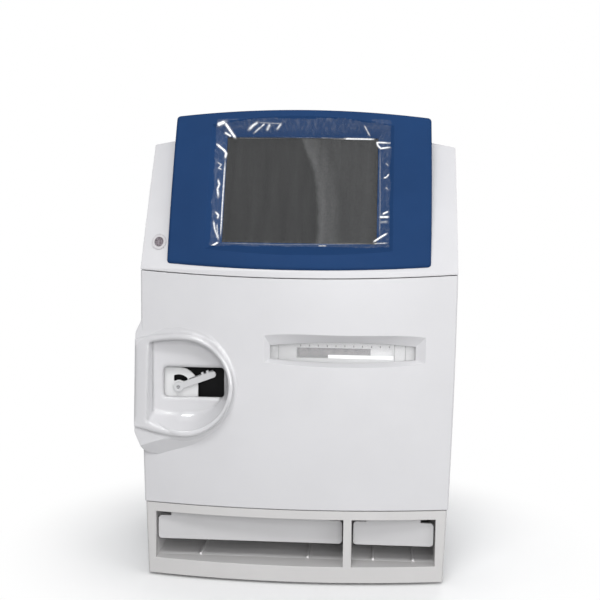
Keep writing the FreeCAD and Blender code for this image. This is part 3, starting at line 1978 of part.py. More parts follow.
def make_rear_panel():
    """Metal panel behind the window of the back, with its connectors."""
    sheet = box(
        "panel_blank",
        "-(panel_half + panel_lap)",
        "panel_half + panel_lap",
        "panel_front",
        "rear_inner",
        "panel_low - panel_lap",
        "panel_high + panel_lap",
    )

    def block(name, x, z, half, tall, front, back):
        return box(
            name,
            f"{x} - ({half})",
            f"{x} + ({half})",
            front,
            back,
            f"{z} - ({tall})",
            f"{z} + ({tall})",
        )

    through = ("panel_front - 5", "rear_y + 5")
    cuts = [
        block("inlet_cutout", "inlet_x", "inlet_z", "inlet_half + 0.2", "inlet_tall + 0.2", *through),
        block("switch_cutout", "switch_x", "inlet_z", "switch_half + 0.2", "switch_tall + 0.2", *through),
        rod("fan_cutout", "y", ("fan_x", "panel_front - 5", "fan_z"), "fan_bore", "20"),
    ]
    ports = []
    for number in range(2):
        height = f"port_z + {number} * port_pitch"
        cuts.append(
            block(
                f"port_cutout_{number}",
                "port_x",
                height,
                "serial_half - 4.8",
                "serial_tall - 1.6",
                *through,
            )
        )
        flange = block(
            f"port_flange_{number}",
            "port_x",
            height,
            "serial_half",
            "serial_tall",
            "rear_inner",
            "rear_inner + serial_flange",
        )
        shell = block(
            f"port_shell_{number}",
            "port_x",
            height,
            "serial_half - 6",
            "serial_tall - 2",
            "panel_front - 6",
            "rear_inner + serial_proud",
        )
        mouth = block(
            f"port_mouth_{number}",
            "port_x",
            height,
            "serial_half - 6.8",
            "serial_tall - 2.8",
            "rear_inner - 3",
            "rear_inner + serial_proud + 1",
        )
        ports.append(cut(f"port_{number}", fuse(f"port_blank_{number}", flange, shell), mouth))
    piece("rear_panel", cut("panel_solid", sheet, *cuts))
    piece("serial_ports", group("port_pair", *ports))
    inlet_front = "rear_inner - inlet_deep"
    inlet = fuse(
        "inlet_blank",
        block("inlet_body", "inlet_x", "inlet_z", "inlet_half", "inlet_tall", inlet_front, "rear_inner"),
        block(
            "inlet_flange_block",
            "inlet_x",
            "inlet_z",
            "inlet_half + 3",
            "inlet_tall + 3",
            "rear_inner",
            "rear_inner + inlet_flange",
        ),
    )
    mouth = block(
        "inlet_mouth",
        "inlet_x",
        "inlet_z",
        "inlet_half - 2.2",
        "inlet_tall - 2.2",
        "rear_inner - inlet_deep + 6",
        "rear_y + 5",
    )
    blades = [
        block(
            f"inlet_blade_{number}",
            f"inlet_x + {offset}",
            f"inlet_z + {lift}",
            "inlet_blade / 2",
            "inlet_blade",
            "rear_inner - inlet_deep + 5",
            "rear_inner - 2",
        )
        for number, (offset, lift) in enumerate((("-7", "-2"), ("0", "2"), ("7", "-2")))
    ]
    piece("power_inlet", fuse("inlet_solid", cut("inlet_shell", inlet, mouth), *blades))
    frame = fuse(
        "switch_blank",
        block(
            "switch_body",
            "switch_x",
            "inlet_z",
            "switch_half",
            "switch_tall",
            "rear_inner - switch_deep",
            "rear_inner",
        ),
        block(
            "switch_flange",
            "switch_x",
            "inlet_z",
            "switch_half + 1.6",
            "switch_tall + 1.6",
            "rear_inner",
            "rear_inner + 1",
        ),
    )
    well = block(
        "switch_well",
        "switch_x",
        "inlet_z",
        "switch_half - 1.4",
        "switch_tall - 1.2",
        "rear_inner - switch_deep + 3",
        "rear_y + 5",
    )
    pivot_y = "rear_inner - rocker_set"
    axle = rod(
        "rocker_axle",
        "x",
        ("switch_x - switch_half + 0.5", pivot_y, "inlet_z"),
        "rocker_pin",
        "2 * switch_half - 1",
    )
    piece("switch_frame", fuse("switch_solid", cut("switch_shell", frame, well), axle))
    rocker = Block("rocker_block", "side", ("switch_x - rocker_half", pivot_y, "inlet_z"))
    tall = "(switch_tall - 1.2 - rocker_gap)"
    rocker.pad(
        rocker.outline(
            [
                ("-4", f"-{tall} * 0.72"),
                ("rocker_set + 0.9", f"-{tall} * 0.93"),
                ("rocker_set - 0.4", "0"),
                ("rocker_set + 0.9", f"{tall} * 0.93"),
                ("-4", f"{tall} * 0.72"),
            ],
            turn="rocker_tilt",
        ),
        "2 * rocker_half",
    )
    bore = rocker.sketch("2 * rocker_half")
    draw_circle(bore, "0", "0", "rocker_pin + pin_play")
    rocker.pocket(bore, "2 * rocker_half")
    piece("power_rocker", rocker)
    heads = [
        rod(f"panel_screw_{number}", "y", (x, "rear_inner", z), "screw_r", "screw_head")
        for number, (x, z) in enumerate(
            (x, z)
            for x in ("-(panel_half - 8)", "panel_half - 8")
            for z in ("panel_low + 8", "panel_high - 8")
        )
    ]
    piece("panel_screws", group("panel_screw_set", *heads))


def make_fan():
    """Cooling fan behind the panel: frame, bladed rotor and wire guard."""
    back = "panel_front"
    front = "panel_front - fan_deep"
    shell = cut(
        "fan_shell",
        box(
            "fan_box",
            "fan_x - fan_half",
            "fan_x + fan_half",
            front,
            back,
            "fan_z - fan_half",
            "fan_z + fan_half",
        ),
        rod("fan_hole", "y", ("fan_x", f"{front} - 5", "fan_z"), "fan_bore", "fan_deep + 10"),
    )
    arms = [
        box(
            f"fan_arm_{number}",
            f"fan_x - {wide}",
            f"fan_x + {wide}",
            front,
            f"{front} + fan_arm",
            f"fan_z - {tall}",
            f"fan_z + {tall}",
        )
        for number, (wide, tall) in enumerate((("fan_bore + 1", "2"), ("2", "fan_bore + 1")))
    ]
    seat = rod("fan_seat", "y", ("fan_x", front, "fan_z"), "fan_hub - 1", "fan_arm")
    axle = rod("fan_axle", "y", ("fan_x", front, "fan_z"), "fan_pin", "fan_deep - 2")
    piece("fan_frame", fuse("fan_frame_solid", shell, *arms, seat, axle))
    start = f"{front} + fan_arm + 0.5"
    rotor = Block("fan_rotor_block", "front", ("fan_x", f"{back} - 2.5", "fan_z"))
    hub = rotor.sketch()
    draw_circle(hub, "0", "0", "fan_hub")
    rotor.pad(hub, f"{back} - 2.5 - ({start})")
    blade = rotor.outline(
        [
            ("-blade_sweep", "1.5"),
            ("-blade_sweep + blade_thick", "1.5"),
            ("blade_sweep", f"{back} - 4 - ({start})"),
            ("blade_sweep - blade_thick", f"{back} - 4 - ({start})"),
        ],
        height="fan_hub - 1",
        plane="YZ_Plane",
    )
    rotor.pad(blade, "fan_tip - fan_hub + 1")
    rotor.polar("fan_blades")
    bore = rotor.sketch(f"{back} - 2.5 - ({start})")
    draw_circle(bore, "0", "0", "fan_pin + pin_play")
    rotor.pocket(bore, "fan_deep")
    piece("fan_rotor", rotor)
    wires = []
    for number in range(int(SIZES["guard_rings"])):
        ring = DOC.addObject("Part::Torus", f"guard_ring_{number}")
        ring.Placement = Placement(Vector(), Rotation(Vector(1, 0, 0), 90))
        bind(ring, "Radius1", f"fan_bore + 1 - {number} * guard_pitch")
        bind(ring, "Radius2", "guard_wire / 2")
        for letter, text in zip("xyz", ("fan_x", "rear_inner + guard_wire / 2", "fan_z")):
            bind(ring, f"Placement.Base.{letter}", text)
        wires.append(ring)
    for number, (axis, low) in enumerate(
        (
            ("x", ("fan_x - fan_bore - 3", "rear_inner + guard_wire / 2", "fan_z")),
            ("z", ("fan_x", "rear_inner + guard_wire / 2", "fan_z - fan_bore - 3")),
        )
    ):
        wires.append(
            rod(f"guard_bar_{number}", axis, low, "guard_wire / 2", "2 * fan_bore + 6")
        )
    piece("fan_guard", fuse("guard_solid", *wires))


def make_electronics():
    """Main board on standoffs behind the bulkhead, and the mains supply on the deck."""
    back = "bulkhead_y + sheet"
    board = box(
        "board_sheet",
        "-board_half",
        "board_half",
        f"{back} + standoff",
        f"{back} + standoff + board_thick",
        "board_low",
        "board_high",
    )
    chips = [
        box(
            f"chip_{number}",
            left,
            f"{left} + {wide}",
            f"{back} + standoff + board_thick - 0.2",
            f"{back} + standoff + board_thick + {deep}",
            f"board_low + {low}",
            f"board_low + {low} + {tall}",
        )
        for number, (left, wide, deep, low, tall) in enumerate(
            (
                ("-90", "28", "2.5", "50", "28"),
                ("-40", "14", "1.8", "60", "20"),
                ("0", "50", "12", "12", "10"),
                ("60", "40", "18", "60", "40"),
            )
        )
    ]
    piece("main_board", fuse("board_solid", board, *chips))
    posts = [
        rod(f"standoff_{number}", "y", (x, back, z), "standoff_r", "standoff")
        for number, (x, z) in enumerate(
            (x, z)
            for x in ("-(board_half - 8)", "0", "board_half - 8")
            for z in ("board_low + 8", "board_high - 8")
        )
    ]
    piece("board_standoffs", group("standoff_set", *posts))
    supply = Block("supply_block", "plan", ("0", "0", "deck_top"))
    supply.pad(
        supply.outline(rect("supply_left", "supply_right", "supply_front", "supply_rear")),
        "supply_tall",
    )
    piece("power_supply", supply)


def make_pod():
    """The housing that closes the display from behind, above the casing's top."""
    lean = "tan(display_lean)"
    back_y = "(display_y + bezel_depth / cos(display_lean))"
    low = "(display_z + pod_start)"
    high = "(display_z + (bezel_tall - pod_drop) * cos(display_lean))"
    corners = [
        (f"{back_y} + pod_start * {lean}", low),
        (f"{back_y} + pod_start * {lean} + 70", low),
        (f"{back_y} + ({high} - display_z) * {lean} + pod_deep", f"{high} - pod_fall"),
        (f"{back_y} + ({high} - display_z) * {lean}", high),
    ]
    wedge = slab("pod_wedge", "side", corners, "-pod_half", "2 * pod_half")
    casing = common(
        "pod_casing",
        envelope("pod_casing_envelope", "0", "body_low"),
        sloped_slab("pod_casing_slope", "0", "front_depth + 120"),
    )
    soft = round_edges(
        "pod_soft",
        wedge,
        "pod_round",
        lambda edge: edge.BoundBox.YMax > value(corners[2][0]) - 0.1
        and edge.BoundBox.ZMin > value(corners[2][1]) - 0.1
        and edge.BoundBox.XLength > 10,
    )
    piece("display_rear_housing", cut("pod_solid", soft, casing))


def write_parts():
    DOC.recompute()
    bad = [
        item.Name
        for item in DOC.Objects
        if "Invalid" in item.State or "Error" in item.State
    ]
    if bad:
        raise ValueError(f"failed features: {bad}")
    os.makedirs("parts", exist_ok=True)
    for name, solid in PIECES:
        shape = solid.Shape
        if shape.isNull() or not shape.isValid():
            raise ValueError(f"{name} has no valid shape")
        shape.exportStep(f"parts/{name}.step")
        print(name, len(shape.Solids), round(shape.Volume))


make_rear_cover()
make_upper_cover()
make_bezel()
make_display()
make_pod()
make_lamp()
make_door()
make_door_fittings()
make_fascia()
make_flaps()
make_trays()
make_frame()
make_sampler()
make_cell()
make_pump()
make_rear_panel()
make_fan()
make_electronics()
write_parts()
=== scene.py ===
"""Dressed scene of the bench electrolyte analyzer, in the frame of the exact model.
Metres, +Z up, front towards -Y."""

import json
import math

import bmesh
import bpy
from mathutils import Matrix, Vector, noise
from mathutils.bvhtree import BVHTree


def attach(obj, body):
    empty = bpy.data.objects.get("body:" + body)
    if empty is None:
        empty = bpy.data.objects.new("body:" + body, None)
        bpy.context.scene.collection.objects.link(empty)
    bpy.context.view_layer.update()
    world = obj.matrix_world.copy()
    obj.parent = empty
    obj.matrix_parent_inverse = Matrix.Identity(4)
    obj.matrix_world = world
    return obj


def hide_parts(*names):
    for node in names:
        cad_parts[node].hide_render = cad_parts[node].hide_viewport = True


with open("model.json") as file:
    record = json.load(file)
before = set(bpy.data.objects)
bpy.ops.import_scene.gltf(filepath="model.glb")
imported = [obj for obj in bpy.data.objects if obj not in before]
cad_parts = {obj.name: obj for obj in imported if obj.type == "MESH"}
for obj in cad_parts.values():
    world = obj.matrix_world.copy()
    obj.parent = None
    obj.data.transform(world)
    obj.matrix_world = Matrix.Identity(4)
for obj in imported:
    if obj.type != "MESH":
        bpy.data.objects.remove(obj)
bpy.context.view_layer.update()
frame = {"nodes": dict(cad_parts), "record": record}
NODES = frame["nodes"]

# The leaning plane of the display: its foot, its upward direction and its normal
LEAN = math.radians(22.0)
FOOT = Vector((0.0, -0.1547, 0.3556))
UP = Vector((0.0, math.sin(LEAN), math.cos(LEAN)))
OUT = Vector((0.0, -math.cos(LEAN), math.sin(LEAN)))

# The photo's eye and the point it looks at
EYE = Vector((0.0813, -1.3477, 0.4430))
TARGET = Vector((0.0026, -0.1500, 0.3162))

# Rays that feel for the front of a node start this far forward
RAY_START = -0.3

# Moulded edges catch the light as if they were rounded by this radius
EDGE = 0.0009


# Materials


class Shader:
    """A principled material with helpers for its texture nodes."""

    def __init__(self, name, colour, rough=0.5, metallic=0.0, **sockets):
        self.material = bpy.data.materials.new(name)
        self.material.use_nodes = True
        self.tree = self.material.node_tree
        self.body = self.tree.nodes["Principled BSDF"]
        self.colour = colour
        self.rough = rough
        self.body.inputs["Base Color"].default_value = (*colour, 1.0)
        self.body.inputs["Roughness"].default_value = rough
        self.body.inputs["Metallic"].default_value = metallic
        for socket, value in sockets.items():
            self.body.inputs[socket.replace("_", " ")].default_value = value
        self.place = self.add("ShaderNodeTexCoord").outputs["Object"]
        self.last_bump = None

    def add(self, kind, **values):
        node = self.tree.nodes.new(kind)
        for name, value in values.items():
            setattr(node, name, value)
        return node

    def link(self, start, end):
        self.tree.links.new(start, end)

    def stretched(self, scale, turn=(0.0, 0.0, 0.0)):
        """The place turned and scaled along each axis, for brushed or drawn textures."""
        mapping = self.add("ShaderNodeMapping")
        mapping.inputs["Scale"].default_value = scale
        mapping.inputs["Rotation"].default_value = turn
        self.link(self.place, mapping.inputs["Vector"])
        return mapping.outputs["Vector"]

    def noise(self, scale, detail=3.0, rough=0.55, vector=None):
        node = self.add("ShaderNodeTexNoise")
        node.inputs["Scale"].default_value = scale
        node.inputs["Detail"].default_value = detail
        node.inputs["Roughness"].default_value = rough
        self.link(vector or self.place, node.inputs["Vector"])
        return node.outputs["Fac"]

    def ranged(self, factor, low, high, start=0.3, end=0.7):
        node = self.add("ShaderNodeMapRange")
        node.inputs["From Min"].default_value = start
        node.inputs["From Max"].default_value = end
        node.inputs["To Min"].default_value = low
        node.inputs["To Max"].default_value = high
        self.link(factor, node.inputs["Value"])
        return node.outputs["Result"]

    def mixed(self, factor, first, second):
        """A colour between two others, each of them a plain colour or a socket."""
        node = self.add("ShaderNodeMix", data_type="RGBA")
        for place, value in ((6, first), (7, second)):
            if isinstance(value, tuple):
                node.inputs[place].default_value = (*value, 1.0)
            else:
                self.link(value, node.inputs[place])
        self.link(factor, node.inputs[0])
        return node.outputs[2]

    def mottle(self, factor, spread=0.04, other=None):
        """Base colour that drifts a little between two shades."""
        first = tuple(min(1.0, c * (1 + spread)) for c in self.colour)
        second = other or tuple(c * (1 - spread) for c in self.colour)
        colour = self.mixed(self.ranged(factor, 0.0, 1.0), first, second)
        self.link(colour, self.body.inputs["Base Color"])
        return self

    def rough_from(self, factor, spread=0.08):
        low, high = max(0.02, self.rough - spread), min(1.0, self.rough + spread)
        self.link(self.ranged(factor, low, high), self.body.inputs["Roughness"])
        return self

    def math(self, kind, first, second=0.0):
        """A math node; plain numbers go in as they are."""
        node = self.add("ShaderNodeMath", operation=kind)
        for place, value in enumerate((first, second)):
            if isinstance(value, (int, float)):
                node.inputs[place].default_value = value
            else:
                self.link(value, node.inputs[place])
        return node.outputs[0]

    def length(self, first, second):
        """The length of a step with these two legs."""
        squares = [self.math("MULTIPLY", leg, leg) for leg in (first, second)]
        return self.math("SQRT", self.math("ADD", *squares))

    def axes(self):
        node = self.add("ShaderNodeSeparateXYZ")
        self.link(self.place, node.inputs[0])
        return node.outputs

    def smooth(self, value, start, end):
        node = self.add("ShaderNodeMapRange", interpolation_type="SMOOTHSTEP")
        node.inputs["From Min"].default_value = start
        node.inputs["From Max"].default_value = end
        self.link(value, node.inputs["Value"])
        return node.outputs["Result"]

    def rounded(self, radius):
        """Edges that catch the light as if rounded by this radius."""
        node = self.add("ShaderNodeBevel", samples=6)
        node.inputs["Radius"].default_value = radius
        self.last_bump = node.outputs["Normal"]
        return node.inputs["Radius"]

    def bump(self, factor, strength=0.2, distance=0.0002):
        node = self.add("ShaderNodeBump")
        node.inputs["Strength"].default_value = strength
        node.inputs["Distance"].default_value = distance
        self.link(factor, node.inputs["Height"])
        if self.last_bump:
            self.link(self.last_bump, node.inputs["Normal"])
        self.last_bump = node.outputs["Normal"]
        self.link(self.last_bump, self.body.inputs["Normal"])
        return self

    def flow_marks(self):
        """The broad unevenness of a moulded face."""
        return self.bump(self.noise(9.0, 2.0), 0.10, 0.0012)

    def spark_grain(self, grain, depth):
        """The fine texture that a spark-eroded mould leaves."""
        return self.bump(self.noise(grain, 2.0), depth, 0.00012)


def moulded(name, colour, rough=0.45, grain=1400.0, depth=0.16, spread=0.025, **sockets):
    """Moulded plastic: fine spark texture, faint flow marks, uneven gloss."""
    made = Shader(name, colour, rough, **sockets)
    made.rounded(EDGE)
    made.mottle(made.noise(14.0, 4.0), spread)
    made.rough_from(made.noise(60.0, 5.0), 0.05)
    made.flow_marks()
    made.spark_grain(grain, depth)
    return made.material


def sheet_metal(name, colour, rough=0.42, metallic=0.35):
    """Powder-coated or zinc sheet with a faint orange peel."""
    made = Shader(name, colour, rough, metallic)
    made.mottle(made.noise(30.0, 6.0), 0.06)
    made.rough_from(made.noise(90.0, 4.0), 0.08)
    made.bump(made.noise(700.0, 2.0), 0.12, 0.00015)
    return made.material


def brushed(name, colour, rough=0.28, along=(40.0, 900.0, 900.0)):
    """Bare metal with fine lines, drawn out along the axis that is scaled least."""
    made = Shader(name, colour, rough, 1.0)
    lines = made.noise(1.0, 4.0, vector=made.stretched(along))
    made.mottle(lines, 0.08)
    made.rough_from(lines, 0.08)
    made.bump(lines, 0.10, 0.00006)
    return made.material


def clear(name, colour, rough=0.08, alpha=0.2, grain=300.0):
    """Clear plastic or glass, thin enough to be drawn as a see-through coat."""
    made = Shader(name, colour, rough, Alpha=alpha, IOR=1.5)
    made.mottle(made.noise(20.0, 3.0), 0.02)
    made.rough_from(made.noise(grain, 3.0), 0.03)
    made.bump(made.noise(12.0, 2.0), 0.08, 0.001)
    return made.material


def door_plastic():
    """The door's plastic, more polished and more rounded at the sampling dish."""
    rough, dish_rough = 0.38, 0.18
    dish_edge = 0.0070
    gloss, dish_gloss = 0.5, 1.0
    middle_x, middle_z, flatten = -0.130, 0.221, 0.95
    polished, plain = 0.058, 0.068
    made = Shader("door_white", CASING, rough)
    made.mottle(made.noise(14.0, 4.0), 0.02)
    radius = made.rounded(EDGE)
    x, _, z = made.axes()
    across = made.math("MULTIPLY", made.math("SUBTRACT", x, middle_x), flatten)
    above = made.math("SUBTRACT", z, middle_z)
    away = made.smooth(made.length(across, above), polished, plain)

    def from_dish(at_dish, elsewhere):
        drop = made.math("MULTIPLY", away, at_dish - elsewhere)
        return made.math("SUBTRACT", at_dish, drop)

    speck = made.ranged(made.noise(60.0, 5.0), -0.04, 0.04)
    level = made.math("ADD", from_dish(dish_rough, rough), speck)
    made.link(level, made.body.inputs["Roughness"])
    made.link(from_dish(dish_edge, EDGE), radius)
    made.link(from_dish(dish_gloss, gloss), made.body.inputs["Specular IOR Level"])
    made.flow_marks()
    made.spark_grain(1400.0, 0.14)
    return made.material


def housing_plastic():
    """The electrode module: white plastic, dark and speckled inside the channel."""
    left, right = (-0.0012, -0.0006), (0.0815, 0.0805)
    low, high = (0.2508, 0.2512), (0.2626, 0.2622)
    front = (-0.1418, -0.1412)
    made = Shader("housing_white", (0.90, 0.90, 0.905), 0.35)
    made.rounded(0.0005)
    x, y, z = made.axes()
    within = made.smooth(x, *left)
    for axis, edge in ((x, right), (z, low), (z, high), (y, front)):
        within = made.math("MULTIPLY", within, made.smooth(axis, *edge))
    speck = made.ranged(made.noise(700.0, 3.0), 0.0, 1.0)
    dark = made.mixed(speck, (0.10, 0.096, 0.10), (0.30, 0.29, 0.30))
    made.link(made.mixed(within, made.colour, dark), made.body.inputs["Base Color"])
    made.rough_from(made.noise(60.0, 5.0), 0.05)
    made.spark_grain(1400.0, 0.10)
    return made.material


def lamp_lens():
    """Dark lens, mottled towards a lilac grey that stands in for its highlight."""
    made = Shader("lamp_lens", (0.07, 0.055, 0.062), 0.16)
    made.rounded(0.0015)
    # Painted highlight: lilac grey mottled into the dark lens colour
    made.mottle(made.noise(360.0, 2.0), 0.0, (0.36, 0.32, 0.35))
    made.rough_from(made.noise(60.0, 5.0), 0.05)
    made.bump(made.noise(300.0, 2.0), 0.10, 0.0004)
    return made.material


def screen_glass():
    """Dark screen under glass, with a painted reflection: the soft light band that a lamp leaves
    on it, painted into the colour.
    """
    made = Shader("touch_glass", (0.042, 0.044, 0.045), 0.42, Specular_IOR_Level=0.03)
    low, tall = 0.384, 0.114
    foot, slant, sag = 0.0214, 0.0081, -0.0319
    before, spread = 0.022, 0.100
    x, _, z = made.axes()
    rise = made.math("DIVIDE", made.math("SUBTRACT", z, low), tall)
    bend = made.math("MULTIPLY", made.math("MULTIPLY", rise, rise), sag)
    edge = made.math("ADD", made.math("MULTIPLY", rise, slant), bend)
    past = made.math("SUBTRACT", made.math("SUBTRACT", x, edge), foot)
    drift = made.ranged(made.noise(40.0, 4.0), -0.002, 0.002)
    past = made.math("ADD", past, drift)
    # Painted reflection: a lighter band, slanted and bent with height, painted into the base
    # colour where a lamp's mirror image lies
    reflection_ramp = made.add("ShaderNodeValToRGB")
    reflection_ramp.color_ramp.interpolation = "EASE"
    stops = ((0.0, 0.036), (0.18, 0.034), (0.25, 0.086), (0.33, 0.070), (0.5, 0.050), (1.0, 0.046))
    for number, (place, level) in enumerate(stops):
        if number < 2:
            stop = reflection_ramp.color_ramp.elements[number]
            stop.position = place
        else:
            stop = reflection_ramp.color_ramp.elements.new(place)
        stop.color = (level, level * 1.01, level * 1.02, 1.0)
    share = made.math("DIVIDE", made.math("ADD", past, before), spread)
    made.link(share, reflection_ramp.inputs["Fac"])
    slanted = made.stretched((90.0, 1.0, 9.0), (0.0, math.radians(-14.0), 0.0))
    streaks = made.ranged(made.noise(1.0, 3.0, vector=slanted), 0.88, 1.14)
    speckle = made.ranged(made.noise(640.0, 4.0), 0.80, 1.22)
    grain = made.math("MULTIPLY", speckle, streaks)
    mix = made.add("ShaderNodeVectorMath", operation="SCALE")
    made.link(reflection_ramp.outputs["Color"], mix.inputs[0])
    made.link(grain, mix.inputs["Scale"])
    made.link(mix.outputs[0], made.body.inputs["Base Color"])
    made.rough_from(made.noise(200.0, 3.0), 0.03)
    made.bump(made.noise(12.0, 2.0), 0.05, 0.0008)
    return made.material


def crinkled_film():
    """Clear film that shows only where it creases, through painted white glints that glow along
    the creases.
    """
    made = Shader("clear_film", (0.97, 0.98, 1.0), 0.16, IOR=1.45)
    most, least, glow = 0.97, 0.012, 0.55
    # Painted highlight: along its creases the film turns opaque white and glows.
    fold_glint = made.add("ShaderNodeAttribute", attribute_name="fold_glint").outputs["Fac"]
    fine = made.ranged(made.noise(900.0, 3.0), 0.82, 1.08)
    shown = made.math("MULTIPLY", fold_glint, fine)
    cover = made.math("ADD", made.math("MINIMUM", shown, most), least)
    made.link(cover, made.body.inputs["Alpha"])
    made.body.inputs["Emission Color"].default_value = (1.0, 1.0, 1.0, 1.0)
    made.link(made.math("MULTIPLY", shown, glow), made.body.inputs["Emission Strength"])
    made.rough_from(made.noise(300.0, 2.0), 0.05)
    made.bump(made.noise(160.0, 4.0), 0.5, 0.0006)
    return made.material


CASING = (0.640, 0.636, 0.652)
MATERIALS = {
    "casing_white": moulded("casing_white", CASING, 0.38),
    "fascia_white": moulded("fascia_white", (0.600, 0.590, 0.586), 0.44),
    "flap_white": moulded("flap_white", (0.575, 0.570, 0.578), 0.34, 2000.0, 0.08),
    "tray_white": moulded("tray_white", (0.72, 0.71, 0.71), 0.40, 2000.0, 0.08),
    "display_blue": moulded(
        "display_blue", (0.0125, 0.044, 0.130), 0.62, 1300.0, 0.3, 0.06, Specular_IOR_Level=0.08
    ),
    "lamp_collar": moulded("lamp_collar", (0.60, 0.585, 0.60), 0.25),
    "lamp_lens": lamp_lens(),
    "lcd_dark": moulded("lcd_dark", (0.050, 0.052, 0.054), 0.35),
    "black_plastic": moulded("black_plastic", (0.014, 0.014, 0.016), 0.42),
    "grey_plastic": moulded("grey_plastic", (0.36, 0.37, 0.39), 0.40),
    "module_white": moulded("module_white", (0.86, 0.85, 0.85), 0.40),
    "electrode_body": moulded("electrode_body", (0.25, 0.235, 0.24), 0.25, 3000.0, 0.04),
    "lever_grey": moulded("lever_grey", (0.60, 0.60, 0.61), 0.35),
    "board_green": moulded("board_green", (0.012, 0.110, 0.045), 0.30, 500.0, 0.10),
    "foot_rubber": moulded("foot_rubber", (0.018, 0.018, 0.018), 0.75, 900.0, 0.4),
    "pump_tube": moulded("pump_tube", (0.62, 0.58, 0.48), 0.30, 900.0, 0.06),
    "magnet": moulded("magnet", (0.030, 0.030, 0.032), 0.5),
    "zinc_sheet": sheet_metal("zinc_sheet", (0.44, 0.45, 0.46)),
    "steel": brushed("steel", (0.50, 0.50, 0.51)),
    "screw_steel": brushed("screw_steel", (0.60, 0.60, 0.61), 0.22, (500.0, 500.0, 500.0)),
    "touch_glass": screen_glass(),
    "clear_film": crinkled_film(),
    "dish_gloss": moulded("dish_gloss", CASING, 0.16, 1400.0, 0.06, Coat_Weight=1.0),
    "clear_plastic": clear("clear_plastic", (0.90, 0.90, 0.91), 0.07, 0.16),
}

# Nodes whose look isn't their slot's
OWN_MATERIALS = {
    "front_door": door_plastic(),
    "electrode_housing": housing_plastic(),
    "sampler_case": moulded("sampler_black", (0.004, 0.004, 0.005), 0.55, Specular_IOR_Level=0.2),
    "sampler_plate": moulded("sampler_white", (0.74, 0.74, 0.745), 0.35),
    # Painted highlight: the flow cell is bright white and glows, for the glare of a lamp on its
    # clear face
    "flow_cell": moulded(
        "cell_painted_glare", (0.97, 0.97, 0.985), 0.12, 3000.0, 0.03, Emission_Strength=0.5
    ),
    "cell_end_block": moulded("cell_white", (0.95, 0.95, 0.955), 0.20, 3000.0, 0.03),
}
for entry in frame["record"]["subparts"]:
    label = entry["node"]
    skins = NODES[label].data.materials
    skins.clear()
    skins.append(OWN_MATERIALS.get(label, MATERIALS[entry["material_slot"]]))


# Pieces


def new_piece(name, mesh, material, body):
    """An object of this mesh that moves with one of the part's bodies."""
    thing = bpy.data.objects.new(name, mesh)
    bpy.context.scene.collection.objects.link(thing)
    mesh.materials.append(material)
    for face in mesh.polygons:
        face.use_smooth = True
    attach(thing, body)
    return thing


def on_display(across, up, out):
    """A point in the leaning frame of the display, from millimetres."""
    return FOOT + (Vector((across, 0.0, 0.0)) + UP * up + OUT * out) / 1000.0


def surfaces(*labels):
    """Trees of the nodes' faces, to lay things on them."""
    trees = []
    for label in labels:
        node = NODES[label]
        corners = [node.matrix_world @ vertex.co for vertex in node.data.vertices]
        faces = [tuple(face.vertices) for face in node.data.polygons]
        trees.append(BVHTree.FromPolygons(corners, faces))
    return trees


# Folds of the film as the photo shows them on the screen's plane, which lies this far out:
# points across and up in mm, half width, and the brightness of the painted white glint along it
SCREEN_OUT = -12.0
FOLDS = (
    (((-99, 170), (-91, 174)), 2.4, 0.95),
    (((-91, 173), (-84, 163), (-77.6, 154.1)), 1.5, 0.98),
    (((-90, 160.5), (-83, 156.4)), 1.2, 0.85),
    (((-99, 146.2), (-90, 139), (-87.3, 135), (-88, 129)), 1.3, 0.95),
    (((-87.9, 127), (-88.1, 80), (-88.1, 35.3)), 0.7, 0.75),
    (((-96.7, 124), (-92, 121), (-95, 117), (-91, 115)), 0.8, 0.5),
    (((-94.8, 103), (-93, 97), (-94.6, 92), (-93.4, 81)), 1.3, 0.62),
    (((-95.5, 64), (-92, 60), (-92.5, 56)), 1.2, 0.7),
    (((-97, 53), (-95, 43), (-90, 31)), 1.1, 0.55),
    (((-93, 50), (-92, 40), (-90, 31)), 0.7, 0.45),
    (((-99.3, 22.2), (-90.5, 27.9)), 1.1, 0.9),
    (((-53, 174), (-58, 170), (-63, 164)), 1.9, 0.60),
    (((-44.7, 172.5), (-50, 167), (-57, 160.5)), 1.2, 0.50),
    (((-39, 171.6), (-42, 163.8)), 1.7, 0.52),
    (((-26, 172.5), (-30.7, 164.7)), 1.5, 0.50),
    (((-52, 173.5), (-26, 172.5)), 0.8, 0.26),
    (((18.9, 155.1), (50, 154.6)), 0.5, 0.45),
    (((46, 154.7), (80.7, 154.2)), 0.9, 0.97),
    (((69, 171), (75.6, 158)), 0.9, 0.45),
    (((99.1, 149.3), (83.6, 150.1), (85, 146), (88, 142.8), (99.2, 144.1)), 1.0, 0.95),
    (((92, 107), (95, 108), (97.5, 111.7)), 0.9, 0.75),
    (((94, 125), (97, 122)), 0.9, 0.3),
    (((94, 96), (97, 93)), 0.9, 0.25),
    (((87.8, 60.4), (98.2, 60.6)), 1.2, 0.92),
    (((91.3, 63.9), (97.4, 67)), 1.1, 0.8),
    (((89, 54.5), (97, 55)), 1.6, 0.22),
    (((82, 31.5), (96.4, 41.2)), 1.1, 0.95),
    (((82.2, 29.3), (97.3, 30.2)), 0.6, 0.5),
    (((15.5, 20.2), (23, 23.2), (29.3, 21.8)), 0.8, 0.8),
    (((20.9, 25.6), (29.9, 25.8)), 0.5, 0.5),
    (((-86, 27.3), (-20, 26.4), (82, 29.2)), 0.5, 0.16),
    (((88.5, 36), (88.2, 90), (87.2, 143)), 0.6, 0.20),
    (((-77, 154.6), (19, 155.1)), 0.5, 0.20),
)


